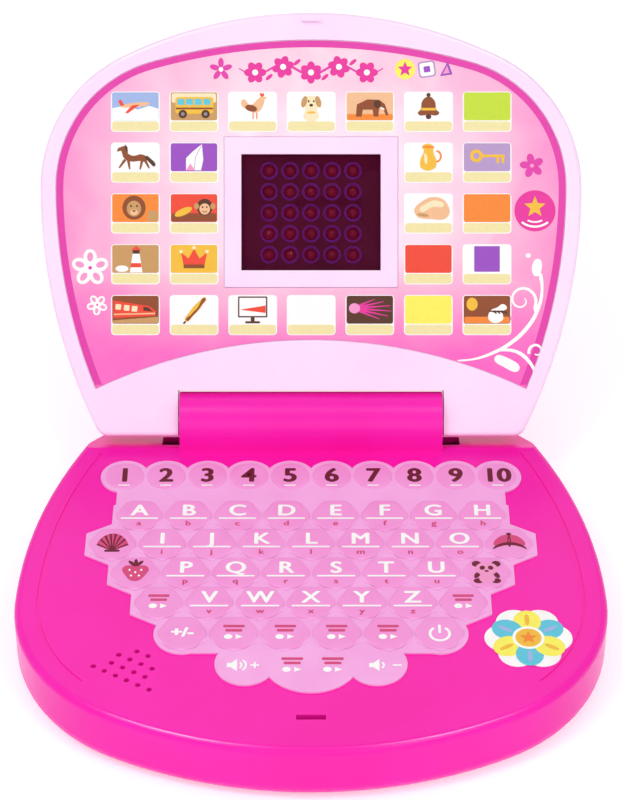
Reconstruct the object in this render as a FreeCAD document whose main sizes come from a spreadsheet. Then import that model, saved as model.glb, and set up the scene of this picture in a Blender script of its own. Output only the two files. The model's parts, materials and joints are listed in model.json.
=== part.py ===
import FreeCAD, Part
import math
import os
import re
import Sketcher
from FreeCAD import Placement, Rotation, Vector

os.makedirs("parts", exist_ok=True)
doc = FreeCAD.newDocument("toy_laptop")

# Driving sizes in millimetres and degrees.
# Base: x to the right, y to the rear from the hinge axis, z up from the table.
# Lid: x to the right, y up the lid from the hinge axis, z out of its picture side.
sizes = {
    # Plan of the base
    "base_half_width": 120,
    "base_widest": 105,
    "base_side_radius": 227,
    "base_corner_radius": 74,
    "base_reach": 190,
    "base_tail": 12,
    # Heights and walls of the base
    "foot_proud": 1.5,
    "split_height": 15,
    "deck_height": 29,
    "deck_thickness": 3.2,
    "case_wall": 2.2,
    "hull_radius": 8,
    "deck_edge_radius": 3,
    "groove_inset": 9,
    "groove_width": 1.2,
    "groove_depth": 0.5,
    "groove_front": 38,
    "groove_rear": 4,
    # Hinge
    "hinge_lift": 8,
    "barrel_radius": 12,
    "barrel_half": 56.5,
    "barrel_wall": 2.4,
    "barrel_end": 3,
    "barrel_play": 0.7,
    "shelf_crease": 9.4,
    "shelf_slope": 21.4,
    "shelf_hole_width": 8,
    "shelf_hole_front": 6,
    "shelf_hole_rear": 4,
    "pin_radius": 3,
    "pin_play": 0.05,
    "pin_inside": 0.5,
    "pin_grip": 11,
    "bush_bore": 2,
    "cradle_half": 5.5,
    "lid_lean": 38,
    # Lid
    "lid_half_width": 116.5,
    "lid_widest": 100,
    "lid_side_radius": 236,
    "lid_corner_radius": 62.5,
    "lid_reach": 175,
    "lid_tail": 7,
    "lid_gap": 1.5,
    "lid_thickness": 17,
    "lid_wall": 2,
    "lid_plate": 3.4,
    "lid_front_depth": 7,
    "lid_leg_radius": 6,
    "lid_front_radius": 2,
    "lid_back_radius": 4.5,
    # Latch
    "hook_width": 8,
    "hook_thickness": 1.6,
    "hook_length": 3.6,
    "hook_from_top": 3.3,
    "slot_width": 11.5,
    "slot_play": 0.5,
    # Picture card
    "card_side_border": 7,
    "card_top_border": 12,
    "card_foot": 8,
    "card_arch_radius": 214,
    "card_arch_top": 34.5,
    "card_recess": 1.2,
    "card_thickness": 0.6,
    "card_play": 0.3,
    # Display
    "display_level": 89.2,
    "window_width": 60,
    "window_height": 50,
    "surround": 7.2,
    "collar": 1.8,
    "window_lap": 3.5,
    "window_thickness": 1.2,
    "mask_thickness": 2.4,
    "mask_hole_radius": 3.85,
    "led_pitch": 9.05,
    "led_radius": 2.5,
    "led_flange_radius": 2.9,
    "led_flange": 1,
    "led_body": 3.5,
    "led_air": 0.4,
    "board_thickness": 1.6,
    "post_radius": 3,
    "post_margin": 4,
    "led_board_lap": 1,
    # Keypad
    "key_pitch": 20.5,
    "key_gap": 1.1,
    "key_first_row": 55,
    "digit_pitch": 17.6,
    "digit_row": 29.6,
    "digit_radius": 9.3,
    "sheet_margin": 1,
    "sheet_thickness": 0.8,
    "key_rise": 0.3,
    "end_lobe_radius": 11.5,
    "lobe_blend": 0.5,
    "side_lobe_offset": 26,
    "side_lobe_row": 143,
    "side_lobe_radius": 12,
    "middle_lobe_row": 139,
    "middle_lobe_radius": 20,
    "film_thickness": 0.3,
    "film_play": 0.3,
    "film_lap": 6,
    "film_rear_lap": 4,
    "spot_radius": 3.2,
    "tail_width": 20,
    # Main board
    "board_left": -75,
    "board_front": -100,
    "board_length": 70,
    "board_width": 50,
    "board_drop": 3.2,
    "board_post_inset": 4,
    "board_post_radius": 2.5,
    "connector_height": 2.3,
    "connector_width": 5,
    "connector_lap": 2,
    "chip_radius": 7,
    "chip_top_radius": 4.2,
    "chip_height": 1.6,
    "capacitor_radius": 3.2,
    "capacitor_height": 7,
    # Speaker
    "speaker_inset": 49.5,
    "speaker_row": 143.5,
    "speaker_radius": 20,
    "speaker_flange": 1,
    "basket_depth": 8,
    "basket_wall": 1,
    "basket_lap": 0.01,
    "flange_width": 2.5,
    "paper_throat": 6.3,
    "paper_thickness": 0.6,
    "paper_play": 0.3,
    "speaker_post_radius": 2.2,
    "speaker_screw_length": 3.2,
    "magnet_radius": 9,
    "magnet_height": 5.8,
    "speaker_hole_radius": 1.1,
    "speaker_hole_pitch": 5.2,
    "speaker_hole_turn": -30,
    # Batteries
    "bay_right": 38,
    "bay_row": 98,
    "cell_radius": 7.2,
    "cell_length": 49.2,
    "cell_nub": 1.2,
    "cell_nub_radius": 2.6,
    "cell_pitch": 15.2,
    "contact_room": 3.2,
    "contact_plate": 0.4,
    "contact_half": 5.76,
    "bay_wall": 1.6,
    "bay_play": 0.3,
    # Battery door
    "door_thickness": 1.8,
    "door_side_lap": 5.5,
    "door_rear_lap": 4.7,
    "door_front_lap": 11,
    "door_play": 0.4,
    "ledge": 2.5,
    "ledge_thickness": 2,
    "tab_width": 8,
    "tab_offset": 18,
    "tab_reach": 3,
    "tab_thickness": 1.2,
    "tab_stem": 1,
    "tab_slot_front": 1.9,
    "tab_slot_rear": 2,
    "tab_slot_height": 4,
    "door_boss_radius": 4.5,
    "door_boss_height": 3.5,
    "door_screw_inset": 5,
    "door_boss_room": 0.5,
    "door_tower_wall": 2.5,
    "door_tower_height": 9,
    "door_screw_room": 1,
    "door_screw_grip": 1.8,
    "door_screw_length": 8,
    # Screws and feet
    "screw_radius": 1.4,
    "screw_head_radius": 2.8,
    "screw_head": 1.6,
    "screw_play": 0.05,
    "head_play": 0.4,
    "case_screw_seat": 6.5,
    "case_screw_length": 14,
    "lid_screw_seat": 4,
    "lid_screw_length": 8.4,
    "small_screw_radius": 1,
    "small_screw_head_radius": 2,
    "small_screw_head": 1.1,
    "small_screw_length": 4,
    "cross_width": 0.7,
    "cross_depth": 0.8,
    "cross_reach": 0.7,
    "pilot_room": 0.2,
    "boss_radius": 4.5,
    "foot_radius": 6,
    "foot_sunk": 1,
    # Sticker
    "sticker_gap": 6.25,
    "sticker_drop": 2,
    "petal_ring": 10,
    "petal_radius": 7.5,
    "sticker_thickness": 0.25,
}

letter_rows = (8, 9, 8, 7, 6)
digit_count = 10
led_count = 5
cell_count = 3
petal_count = 6
capacitor_count = 2
speaker_hole_rows = (6, 4, 4, 2)
# Places as (in from the widest half width, in front of the axis or up the lid), used on both sides.
case_screw_places = ((40, 32), (24, 98), (80, 164))
foot_places = ((48, 8), (62, 150))
lid_screw_places = ((24.5, 30), (12.5, 90), (48.5, 150))
sides = (-1, 1)

sheet = doc.addObject("Spreadsheet::Sheet", "sizes")
for row, (alias, size) in enumerate(sizes.items(), 1):
    sheet.set(f"A{row}", alias)
    sheet.set(f"B{row}", str(size))
    sheet.setAlias(f"B{row}", alias)
doc.recompute()

# Heights worked out from the driving sizes, as formulas
hull_floor = "(foot_proud + case_wall)"
deck_under = "(deck_height - deck_thickness)"
axis_height = "(deck_height + hinge_lift)"
lid_face = "(hinge_lift - lid_gap)"
lid_back = f"({lid_face} - lid_thickness)"
lid_parting = f"({lid_face} - lid_front_depth)"
plate_under = f"({lid_face} - lid_plate)"
back_inside = f"({lid_back} + lid_wall)"
notch_half = "(barrel_half + barrel_play)"
notch_top = "(barrel_radius + barrel_play)"
window_back = f"({plate_under} - window_thickness)"
led_top = f"({window_back} - led_air)"
led_board_top = f"({led_top} - led_radius - led_body - led_flange)"
key_row_pitch = "(key_pitch * sin(60))"
board_top = f"({deck_under} - board_drop)"
board_under = f"({board_top} - board_thickness)"
bay_length = "(cell_length + cell_nub + 2 * contact_room)"
bay_width = f"({cell_count} * cell_pitch)"
door_top = "(foot_proud + door_thickness)"
cell_level = f"({door_top} + bay_play + cell_radius)"
bay_top = f"({cell_level} + cell_radius + bay_play)"
door_rear = f"(-bay_row + {bay_width} / 2 + door_rear_lap)"
door_front = f"(-bay_row - {bay_width} / 2 - door_front_lap)"
door_half = f"({bay_length} / 2 + door_side_lap)"
door_screw_row = f"({door_front} + door_screw_inset)"
recess_top = f"({door_top} + bay_play)"
door_boss_top = "(foot_proud + door_boss_height)"
tower_top = f"({door_boss_top} + door_tower_height)"
case_screw_level = "(foot_proud + case_screw_seat)"
lid_screw_level = f"({lid_back} + lid_screw_seat)"
card_floor = f"({lid_face} - card_recess)"
speaker_low = f"({deck_under} - speaker_flange)"
speaker_x = "(-base_half_width + speaker_inset)"
pocket_floor = "(deck_height - 2 * film_thickness)"
film_middle = "(deck_height - film_thickness)"
connector_top = f"({board_top} + connector_height)"
board_middle = "(board_left + board_length / 2)"
tail_row = "(board_front + board_width - 2 * connector_width)"
small_way = "small_screw_radius + 2 * screw_play"
last_key_row = f"(-(key_first_row + {len(letter_rows) - 1} * {key_row_pitch}))"
end_lobe_offset = f"({(letter_rows[-1] - 1) / 2} * key_pitch)"
pin_start = "(barrel_half - barrel_end - pin_inside)"
pin_end = f"({notch_half} + lid_wall + pin_grip)"


def formula(text):
    # Names of sizes become references to the sheet's cells.
    def cell(word):
        return "sizes." + word[0] if word[0] in sizes else word[0]
    return re.sub(r"\b[a-z]\w*", cell, str(text))


def bind(thing, **formulas):
    for name, text in formulas.items():
        thing.setExpression(name, formula(text))
    return thing


def set_at(thing, x, y, z):
    for axis, text in zip("xyz", (x, y, z)):
        thing.setExpression(f"Placement.Base.{axis}", formula(text))
    return thing


def box(name, x, y, z):
    # Each span is a pair of formulas, from and to.
    block = doc.addObject("Part::Box", name)
    bind(block, Length=f"({x[1]}) - ({x[0]})", Width=f"({y[1]}) - ({y[0]})", Height=f"({z[1]}) - ({z[0]})")
    return set_at(block, x[0], y[0], z[0])


def around(middle, half):
    return (f"{middle} - ({half})", f"{middle} + ({half})")


def upright(name, x, y, z, radius):
    rod = doc.addObject("Part::Cylinder", name)
    bind(rod, Radius=radius, Height=f"({z[1]}) - ({z[0]})")
    return set_at(rod, x, y, z[0])


def crosswise(name, x, y, z, radius):
    # A rod along x
    rod = doc.addObject("Part::Cylinder", name)
    rod.Placement = Placement(Vector(), Rotation(Vector(0, 1, 0), 90))
    bind(rod, Radius=radius, Height=f"({x[1]}) - ({x[0]})")
    return set_at(rod, x[0], y, z)


def taper(name, x, y, z, lower, upper):
    cone = doc.addObject("Part::Cone", name)
    bind(cone, Radius1=lower, Radius2=upper, Height=f"({z[1]}) - ({z[0]})")
    return set_at(cone, x, y, z[0])


def hexagon(name, x, y, z, half):
    # Two of the corners point along y.
    prism = doc.addObject("Part::Prism", name)
    prism.Polygon = 6
    prism.Placement = Placement(Vector(), Rotation(Vector(0, 0, 1), 30))
    bind(prism, Circumradius=f"({half}) / cos(30)", Height=f"({z[1]}) - ({z[0]})")
    return set_at(prism, x, y, z[0])


def fuse(name, things):
    joined = doc.addObject("Part::MultiFuse", name)
    joined.Shapes = things
    return joined


def cut(name, base, tools):
    carved = doc.addObject("Part::Cut", name)
    carved.Base = base
    carved.Tool = tools[0] if len(tools) == 1 else fuse(name + "_tools", tools)
    return carved


def piece_of(primitive):
    # A lone primitive as a piece with a placement of its own
    return group(primitive.Name + "_piece", [primitive])


def group(name, things):
    bunch = doc.addObject("Part::Compound", name)
    bunch.Links = things
    return bunch


def origin_plane(body, role):
    return next(plane for plane in body.Origin.OriginFeatures if plane.Role == role)


def shield_sketch(body, plan, level, turn, notch):
    # The shield outline: tail edge, long side arcs, corner arcs and a crown arc, drawn crown up.
    sketch = body.newObject("Sketcher::SketchObject", body.Name + "_outline")
    sketch.AttachmentSupport = [(origin_plane(body, "XY_Plane"), "")]
    sketch.MapMode = "FlatFace"
    sketch.AttachmentOffset = Placement(Vector(), Rotation(Vector(0, 0, 1), turn))
    sketch.setExpression("AttachmentOffset.Base.z", formula(level))
    half, widest, reach, tail, side, corner = plan["guess"]
    run = half - corner
    rise = reach - widest
    crown = (run ** 2 + rise ** 2 - corner ** 2) / (2 * (rise - corner))
    lean = math.atan2(widest - reach + crown, run)
    sweep = math.asin((widest - tail) / side)
    foot = half - side + side * math.cos(sweep)

    def arc(x, y, radius, start, end):
        return Part.ArcOfCircle(Part.Circle(Vector(x, y, 0), Vector(0, 0, 1), radius), start, end)

    corners = [(-foot, tail)]
    if notch:
        corners += [(-notch[0], tail), (-notch[0], notch[1]), (notch[0], notch[1]), (notch[0], tail)]
    corners.append((foot, tail))
    lines = [
        Part.LineSegment(Vector(*start, 0), Vector(*end, 0)) for start, end in zip(corners, corners[1:])
    ]
    arcs = [
        arc(half - side, widest, side, -sweep, 0),
        arc(half - corner, widest, corner, 0, lean),
        arc(0, reach - crown, crown, lean, math.pi / 2),
        arc(0, reach - crown, crown, math.pi / 2, math.pi - lean),
        arc(corner - half, widest, corner, math.pi - lean, math.pi),
        arc(side - half, widest, side, math.pi, math.pi + sweep),
    ]
    edges = sketch.addGeometry(lines + arcs)
    tail_edges = edges[:len(lines)]
    side_right, corner_right, crown_right, crown_left, corner_left, side_left = edges[len(lines):]
    rule = Sketcher.Constraint
    start, end, centre = 1, 2, 3
    origin = (-1, 1)
    upright_axis = -2
    smooth = {(corner_right, crown_right), (crown_left, corner_left)}
    for one, other in zip(edges, edges[1:] + edges[:1]):
        kind = "Tangent" if (one, other) in smooth else "Coincident"
        sketch.addConstraint(rule(kind, one, end, other, start))
    sketch.addConstraint([
        rule("PointOnObject", crown_right, end, upright_axis),
        rule("PointOnObject", crown_right, centre, upright_axis),
        rule("PointOnObject", crown_left, centre, upright_axis),
    ])
    for position, edge in enumerate(tail_edges):
        sketch.addConstraint(rule("Vertical" if position % 2 else "Horizontal", edge))

    def measure(name, text, *parts):
        index = sketch.addConstraint(rule(*parts))
        sketch.renameConstraint(index, name)
        sketch.setExpression("Constraints." + name, formula(text))

    def height(name, text, edge, point, guess):
        # A height above the origin, or a depth below it
        if guess < 0:
            measure(name, f"-({text})", "DistanceY", edge, point, *origin, -guess)
        else:
            measure(name, text, "DistanceY", *origin, edge, point, guess)

    height("reach", plan["reach"], crown_right, end, reach)
    height("tail", plan["tail"], tail_edges[0], start, tail)
    measure("half_right", plan["half"], "DistanceX", *origin, side_right, end, half)
    measure("half_left", plan["half"], "DistanceX", side_left, start, *origin, half)
    height("widest_right", plan["widest"], side_right, end, widest)
    height("widest_left", plan["widest"], side_left, start, widest)
    for name, flank, bend in (("right", side_right, corner_right), ("left", side_left, corner_left)):
        measure("side_" + name, plan["side"], "Radius", flank, side)
        measure("corner_" + name, plan["corner"], "Radius", bend, corner)
        height("side_centre_" + name, plan["widest"], flank, centre, widest)
        height("corner_centre_" + name, plan["widest"], bend, centre, widest)
    if notch:
        measure("notch_left", notch_half + plan["grow"], "DistanceX", tail_edges[0], end, *origin, notch[0])
        right = (*origin, tail_edges[4], start)
        measure("notch_right", notch_half + plan["grow"], "DistanceX", *right, notch[0])
        height("notch_top", notch_top + plan["grow"], tail_edges[2], start, notch[1])
        height("tail_right", plan["tail"], tail_edges[4], end, tail)
    return sketch


def shield_plan(name, inset="0"):
    return {
        "half": f"{name}_half_width - {inset}",
        "widest": f"{name}_widest",
        "reach": f"{name}_reach - {inset}",
        "tail": f"-{name}_tail + {inset}",
        "side": f"{name}_side_radius - {inset}",
        "corner": f"{name}_corner_radius - {inset}",
        "grow": f" + {inset}",
        "guess": (
            sizes[name + "_half_width"], sizes[name + "_widest"], sizes[name + "_reach"],
            -sizes[name + "_tail"], sizes[name + "_side_radius"], sizes[name + "_corner_radius"],
        ),
    }


def card_plan(play):
    plan = shield_plan("lid")
    half, widest, reach, tail, side, corner = plan["guess"]
    border = sizes["card_side_border"]
    plan["half"] = f"lid_half_width - card_side_border + {play}"
    plan["reach"] = f"lid_reach - card_top_border + {play}"
    plan["tail"] = "card_foot"
    plan["side"] = f"lid_side_radius - card_side_border + {play}"
    plan["corner"] = f"lid_corner_radius - card_side_border + {play}"
    plan["guess"] = (
        half - border, widest, reach - sizes["card_top_border"],
        sizes["card_foot"], side - border, corner - border,
    )
    return plan


def shield_block(name, plan, z, turn=0, notch=None):
    body = doc.addObject("PartDesign::Body", name)
    sketch = shield_sketch(body, plan, z[0], turn, notch)
    pad = body.newObject("PartDesign::Pad", name + "_pad")
    pad.Profile = sketch
    bind(pad, Length=f"({z[1]}) - ({z[0]})")
    doc.recompute()
    return body


def round_edges(body, name, radius, chosen):
    base = body.Tip
    names = [f"Edge{index}" for index, edge in enumerate(base.Shape.Edges, 1) if chosen(edge)]
    fillet = body.newObject("PartDesign::Fillet", f"{body.Name}_{name}")
    fillet.Base = (base, names)
    bind(fillet, Radius=radius)
    doc.recompute()


def rim_at(height):
    # The curved edges of an outline at one height
    def chosen(edge):
        limits = edge.BoundBox
        flat = limits.ZLength < 0.01 and abs(limits.ZMax - height) < 0.01
        return flat and edge.Curve.TypeId == "Part::GeomCircle"
    return chosen


def leg_corner(edge):
    # The upright edges at the outer lower corners of the lid's legs
    limits = edge.BoundBox
    outside = min(abs(limits.XMin), abs(limits.XMax)) > sizes["barrel_half"] + sizes["pin_grip"]
    return outside and limits.ZLength > 1 and limits.YMax < 0


def base_block(name, inset, z):
    return shield_block(name, shield_plan("base", inset), z, turn=180)


def lid_block(name, inset, z):
    opening = (sizes["barrel_half"] + sizes["barrel_play"], sizes["barrel_radius"] + sizes["barrel_play"])
    block = shield_block(name, shield_plan("lid", inset), z, notch=opening)
    round_edges(block, "legs", f"lid_leg_radius - {inset}", leg_corner)
    return block


def through(low, high):
    # A cutter's span, past both faces of what it cuts
    return (f"{low} - 1", f"{high} + 1")


def from_below(low, high):
    return (f"{low} - 1", high)


def from_above(low, high):
    return (low, f"{high} + 1")


def cross_cuts(name, x, y, low, half):
    # The crossed driver slots in a screw head that is seen from below
    span = from_below(low, f"{low} + cross_depth")
    return [
        box(name + "_slot", around(x, half), around(y, "cross_width / 2"), span),
        box(name + "_cross", around(x, "cross_width / 2"), around(y, half), span),
    ]


def screw(name, x, y, seat, length, kind="screw"):
    # Head below the seat, shank above it
    low = f"({seat} - {kind}_head)"
    head = upright(name + "_head", x, y, (low, seat), f"{kind}_head_radius")
    shank = upright(name + "_shank", x, y, (seat, f"{seat} + {length}"), f"{kind}_radius")
    slots = cross_cuts(name, x, y, low, f"cross_reach * {kind}_head_radius")
    return cut(name, fuse(name + "_solid", [head, shank]), slots)


def both_sides(places, half):
    return [(f"{side} * ({half} - {inset})", row) for inset, row in places for side in sides]


def case_screw_spots():
    return [(x, -row) for x, row in both_sides(case_screw_places, "base_half_width")]


def foot_spots():
    return [(x, -row) for x, row in both_sides(foot_places, "base_half_width")]


def lid_screw_spots():
    return both_sides(lid_screw_places, "lid_half_width")


def key_row(row):
    return f"(-(key_first_row + {row} * {key_row_pitch}))"


def letter_places():
    for row, count in enumerate(letter_rows):
        for place in range(count):
            yield f"{place - (count - 1) / 2} * key_pitch", key_row(row)


def digit_places():
    for place in range(digit_count):
        yield f"{place - (digit_count - 1) / 2} * digit_pitch", "-digit_row"


def lobe_places():
    for side in sides:
        yield f"{side} * {end_lobe_offset}", last_key_row, "end_lobe_radius"
        yield f"{side} * side_lobe_offset", "-side_lobe_row", "side_lobe_radius"
    yield "0", "-middle_lobe_row", "middle_lobe_radius"


def film_strips(name, grow, z):
    # One strip per key row; together they reach under every key.
    half_row = f"{key_row_pitch} / 2"
    digits_front = "-digit_row - film_lap"
    digits_half = f"{(digit_count - 1) / 2} * digit_pitch + film_lap + {grow}"
    digits_span = (digits_front, f"-digit_row + film_rear_lap + {grow}")
    strips = [box(name + "_digits", around("0", digits_half), digits_span, z)]
    for row, count in enumerate(letter_rows):
        middle = key_row(row)
        rear = f"{middle} + {half_row} + {grow}" if row else f"{digits_front} + {grow}"
        half = f"{(count - 1) / 2} * key_pitch + film_lap + {grow}"
        span = (f"{middle} - {half_row} - {grow}", rear)
        strips.append(box(f"{name}_row{row}", around("0", half), span, z))
    half = f"side_lobe_offset + film_lap / 2 + {grow}"
    span = (f"-side_lobe_row - film_lap - {grow}", f"{last_key_row} - {half_row}")
    strips.append(box(name + "_lobes", around("0", half), span, z))
    return fuse(name, strips)


def keypad_sheet():
    flat = ("deck_height", "deck_height + sheet_thickness")
    raised = ("deck_height", "deck_height + sheet_thickness + key_rise")
    digits_half = f"{letter_rows[0] / 2} * key_pitch"
    lobes_foot = f"{last_key_row} - end_lobe_radius + lobe_blend"
    pieces = [
        box("sheet_digits_bridge", around("0", digits_half), (key_row(0), "-digit_row"), flat),
        box("sheet_lobe_bridge", around("0", end_lobe_offset), (lobes_foot, last_key_row), flat),
        box("sheet_foot_bridge", around("0", "side_lobe_offset"), ("-side_lobe_row", last_key_row), flat),
    ]
    for index, (x, y) in enumerate(digit_places()):
        pieces.append(upright(f"digit_pad{index}", x, y, flat, "digit_radius + sheet_margin"))
        pieces.append(upright(f"digit_key{index}", x, y, raised, "digit_radius - key_gap"))
    spots = list(letter_places())
    round_ended = (len(spots) - letter_rows[-1], len(spots) - 1)
    for index, (x, y) in enumerate(spots):
        pieces.append(hexagon(f"letter_key{index}", x, y, raised, "key_pitch / 2 - key_gap"))
        if index not in round_ended:
            pieces.append(hexagon(f"letter_pad{index}", x, y, flat, "key_pitch / 2 + sheet_margin"))
    for index, (x, y, radius) in enumerate(lobe_places()):
        pieces.append(upright(f"lobe_pad{index}", x, y, flat, radius))
    return fuse("keypad_sheet", pieces)


def keypad_films():
    flat = film_strips("circuit_flat", "0", (pocket_floor, film_middle))
    tail_x = around(board_middle, "tail_width / 2")
    tail = box("circuit_tail", tail_x, around(tail_row, "film_thickness / 2"), (connector_top, film_middle))
    spacer = film_strips("spacer_flat", "0", (film_middle, "deck_height"))
    spots = []
    for index, (x, y) in enumerate(list(digit_places()) + list(letter_places())):
        spots.append(upright(f"spacer_spot{index}", x, y, through(film_middle, "deck_height"), "spot_radius"))
    return {
        "keypad_circuit": fuse("keypad_circuit", [flat, tail]),
        "keypad_spacer": cut("keypad_spacer", spacer, spots),
    }


def speaker_holes():
    across_pitch = "speaker_hole_pitch * sin(speaker_hole_turn)"
    along_pitch = "speaker_hole_pitch * cos(speaker_hole_turn)"
    holes = []
    for row, count in enumerate(speaker_hole_rows):
        across = row - (len(speaker_hole_rows) - 1) / 2
        for place in range(count):
            along = place - (count - 1) / 2
            x = f"{speaker_x} + {along} * {along_pitch} - {across} * {across_pitch}"
            y = f"-speaker_row + {along} * {across_pitch} + {across} * {along_pitch}"
            span = through(deck_under, "deck_height")
            holes.append(upright(f"speaker_hole{row}_{place}", x, y, span, "speaker_hole_radius"))
    return holes


def shelf_cutter(name, drop):
    # Everything above the rear shelf, which slopes down behind the crease
    block = doc.addObject("Part::Box", name)
    block.Placement = Placement(Vector(), Rotation(Vector(1, 0, 0), -sizes["shelf_slope"]))
    bind(block, Length="3 * base_half_width", Width="4 * base_tail", Height="2 * deck_height")
    return set_at(block, "-1.5 * base_half_width", "-shelf_crease", f"deck_height - {drop}")


def barrel(name, inset, end):
    # The hinge housing: a round top on straight walls
    x = around("0", f"barrel_half - {end}")
    radius = f"barrel_radius - {inset}"
    walls = box(name + "_walls", x, around("0", radius), ("split_height", axis_height))
    return fuse(name, [walls, crosswise(name + "_top", x, "0", axis_height, radius)])


def board_places():
    for x in ("board_left + board_post_inset", "board_left + board_length - board_post_inset"):
        for y in ("board_front + board_post_inset", "board_front + board_width - board_post_inset"):
            yield x, y


def speaker_screw_places():
    ring = "(speaker_radius + small_screw_radius + small_screw_head_radius)"
    for quarter in range(4):
        turn = 45 + 90 * quarter
        yield f"{speaker_x} + {ring} * cos({turn})", f"-speaker_row + {ring} * sin({turn})"


def deck_groove():
    # A shallow line inside each flank of the deck
    span = from_above("deck_height - groove_depth", "deck_height")
    outer = base_block("groove_outer", "groove_inset", span)
    inner = base_block("groove_inner", "(groove_inset + groove_width)", span)
    wide = around("0", "base_half_width")
    front = box("groove_front_end", wide, ("-base_reach", "-base_reach + groove_front"), span)
    rear = box("groove_rear_end", wide, ("-shelf_crease - groove_rear", "base_tail"), span)
    return cut("deck_groove", outer, [inner, front, rear])


def upper_stalks():
    # Bosses and posts under the deck, and the pilot holes in them
    stalks = []
    pilots = []
    deck_end = f"{deck_under} + 1"
    bore = "screw_radius + screw_play"
    small_bore = "small_screw_radius + screw_play"
    for index, (x, y) in enumerate(case_screw_spots()):
        stalks.append(upright(f"upper_boss{index}", x, y, ("split_height", deck_end), "boss_radius"))
        span = from_below("split_height", f"{case_screw_level} + case_screw_length + pilot_room")
        pilots.append(upright(f"upper_pilot{index}", x, y, span, bore))
    for index, (x, y) in enumerate(board_places()):
        stalks.append(upright(f"board_post{index}", x, y, (board_top, deck_end), "board_post_radius"))
        span = from_below(board_top, f"{board_under} + small_screw_length + pilot_room")
        pilots.append(upright(f"board_pilot{index}", x, y, span, small_bore))
    for index, (x, y) in enumerate(speaker_screw_places()):
        stalks.append(upright(f"speaker_post{index}", x, y, (speaker_low, deck_end), "speaker_post_radius"))
        span = from_below(speaker_low, f"{speaker_low} + speaker_screw_length + pilot_room")
        pilots.append(upright(f"speaker_pilot{index}", x, y, span, small_bore))
    return stalks, pilots


def base_upper_shell():
    form = base_block("upper_form", "0", ("split_height", "deck_height"))
    round_edges(form, "deck_edge", "deck_edge_radius", rim_at(sizes["deck_height"]))
    shelved = cut("upper_shelved", form, [shelf_cutter("shelf_above", "0")])
    outside = fuse("upper_outside", [shelved, barrel("barrel_form", "0", "0")])
    hollow = base_block("upper_hollow", "case_wall", from_below("split_height", deck_under))
    room = cut("upper_room", hollow, [shelf_cutter("shelf_below", "deck_thickness")])
    shell = cut("upper_shell", outside, [room, barrel("barrel_room", "barrel_wall", "barrel_end")])
    stalks, holes = upper_stalks()
    deck = through(deck_under, "deck_height")
    slot_y = around("(-lid_reach + hook_from_top)", "hook_thickness / 2 + slot_play")
    tail_x = around(board_middle, "tail_width / 2 + film_play")
    tail_y = around(tail_row, "film_thickness / 2 + film_play")
    holes += [
        film_strips("film_pocket", "film_play", from_above(pocket_floor, "deck_height")),
        deck_groove(),
        box("latch_slot", around("0", "slot_width / 2"), slot_y, deck),
        box("tail_slot", tail_x, tail_y, deck),
        crosswise("pin_bores", around("0", "barrel_half + 1"), "0", axis_height, "pin_radius + pin_play"),
    ]
    for side in sides:
        start = "barrel_half" if side > 0 else "-barrel_half - shelf_hole_width"
        x = (start, f"{start} + shelf_hole_width")
        y = ("-shelf_hole_front", "shelf_hole_rear")
        holes.append(box(f"shelf_hole{side + 1}", x, y, ("split_height", "deck_height")))
    holes += speaker_holes()
    return cut("base_upper_shell", fuse("upper_with_stalks", [shell] + stalks), holes)


def battery_bay():
    # The walls over the battery door, and the room inside them
    middle = "bay_right"
    tower = (middle, door_screw_row)
    ledge_x = around(middle, f"{door_half} + ledge")
    ledge_y = (f"{door_front} - ledge", f"{door_rear} + ledge")
    ledge_z = ("foot_proud + case_wall / 2", f"{recess_top} + ledge_thickness")
    wall_x = around(middle, f"{bay_length} / 2 + bay_wall")
    wall_y = around("-bay_row", f"{bay_width} / 2 + bay_wall")
    walls = [
        box("door_ledge", ledge_x, ledge_y, ledge_z),
        box("bay_box", wall_x, wall_y, (recess_top, f"{bay_top} + bay_wall")),
        upright("door_tower", *tower, (recess_top, tower_top), "door_boss_radius + door_tower_wall"),
    ]
    recess_x = around(middle, f"{door_half} + door_play")
    recess_y = (f"{door_front} - door_play", f"{door_rear} + door_play")
    room_x = around(middle, f"{bay_length} / 2")
    room_y = around("-bay_row", f"{bay_width} / 2")
    boss_room = ("foot_proud", f"{door_boss_top} + door_boss_room")
    bore = from_above("foot_proud", tower_top)
    rooms = [
        box("door_recess", recess_x, recess_y, from_below("foot_proud", recess_top)),
        box("bay_room", room_x, room_y, ("foot_proud", bay_top)),
        upright("door_boss_way", *tower, boss_room, "door_boss_radius + door_screw_room"),
        upright("door_screw_bore", *tower, bore, "screw_radius + door_screw_room"),
    ]
    for side in sides:
        x = around(f"{middle} + {side} * tab_offset", "tab_width / 2 + door_play")
        y = (f"{door_rear} - tab_stem - tab_slot_front", f"{door_rear} + tab_reach + tab_slot_rear")
        rooms.append(box(f"tab_slot{side + 1}", x, y, (recess_top, f"{recess_top} + tab_slot_height")))
    return walls, rooms


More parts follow.
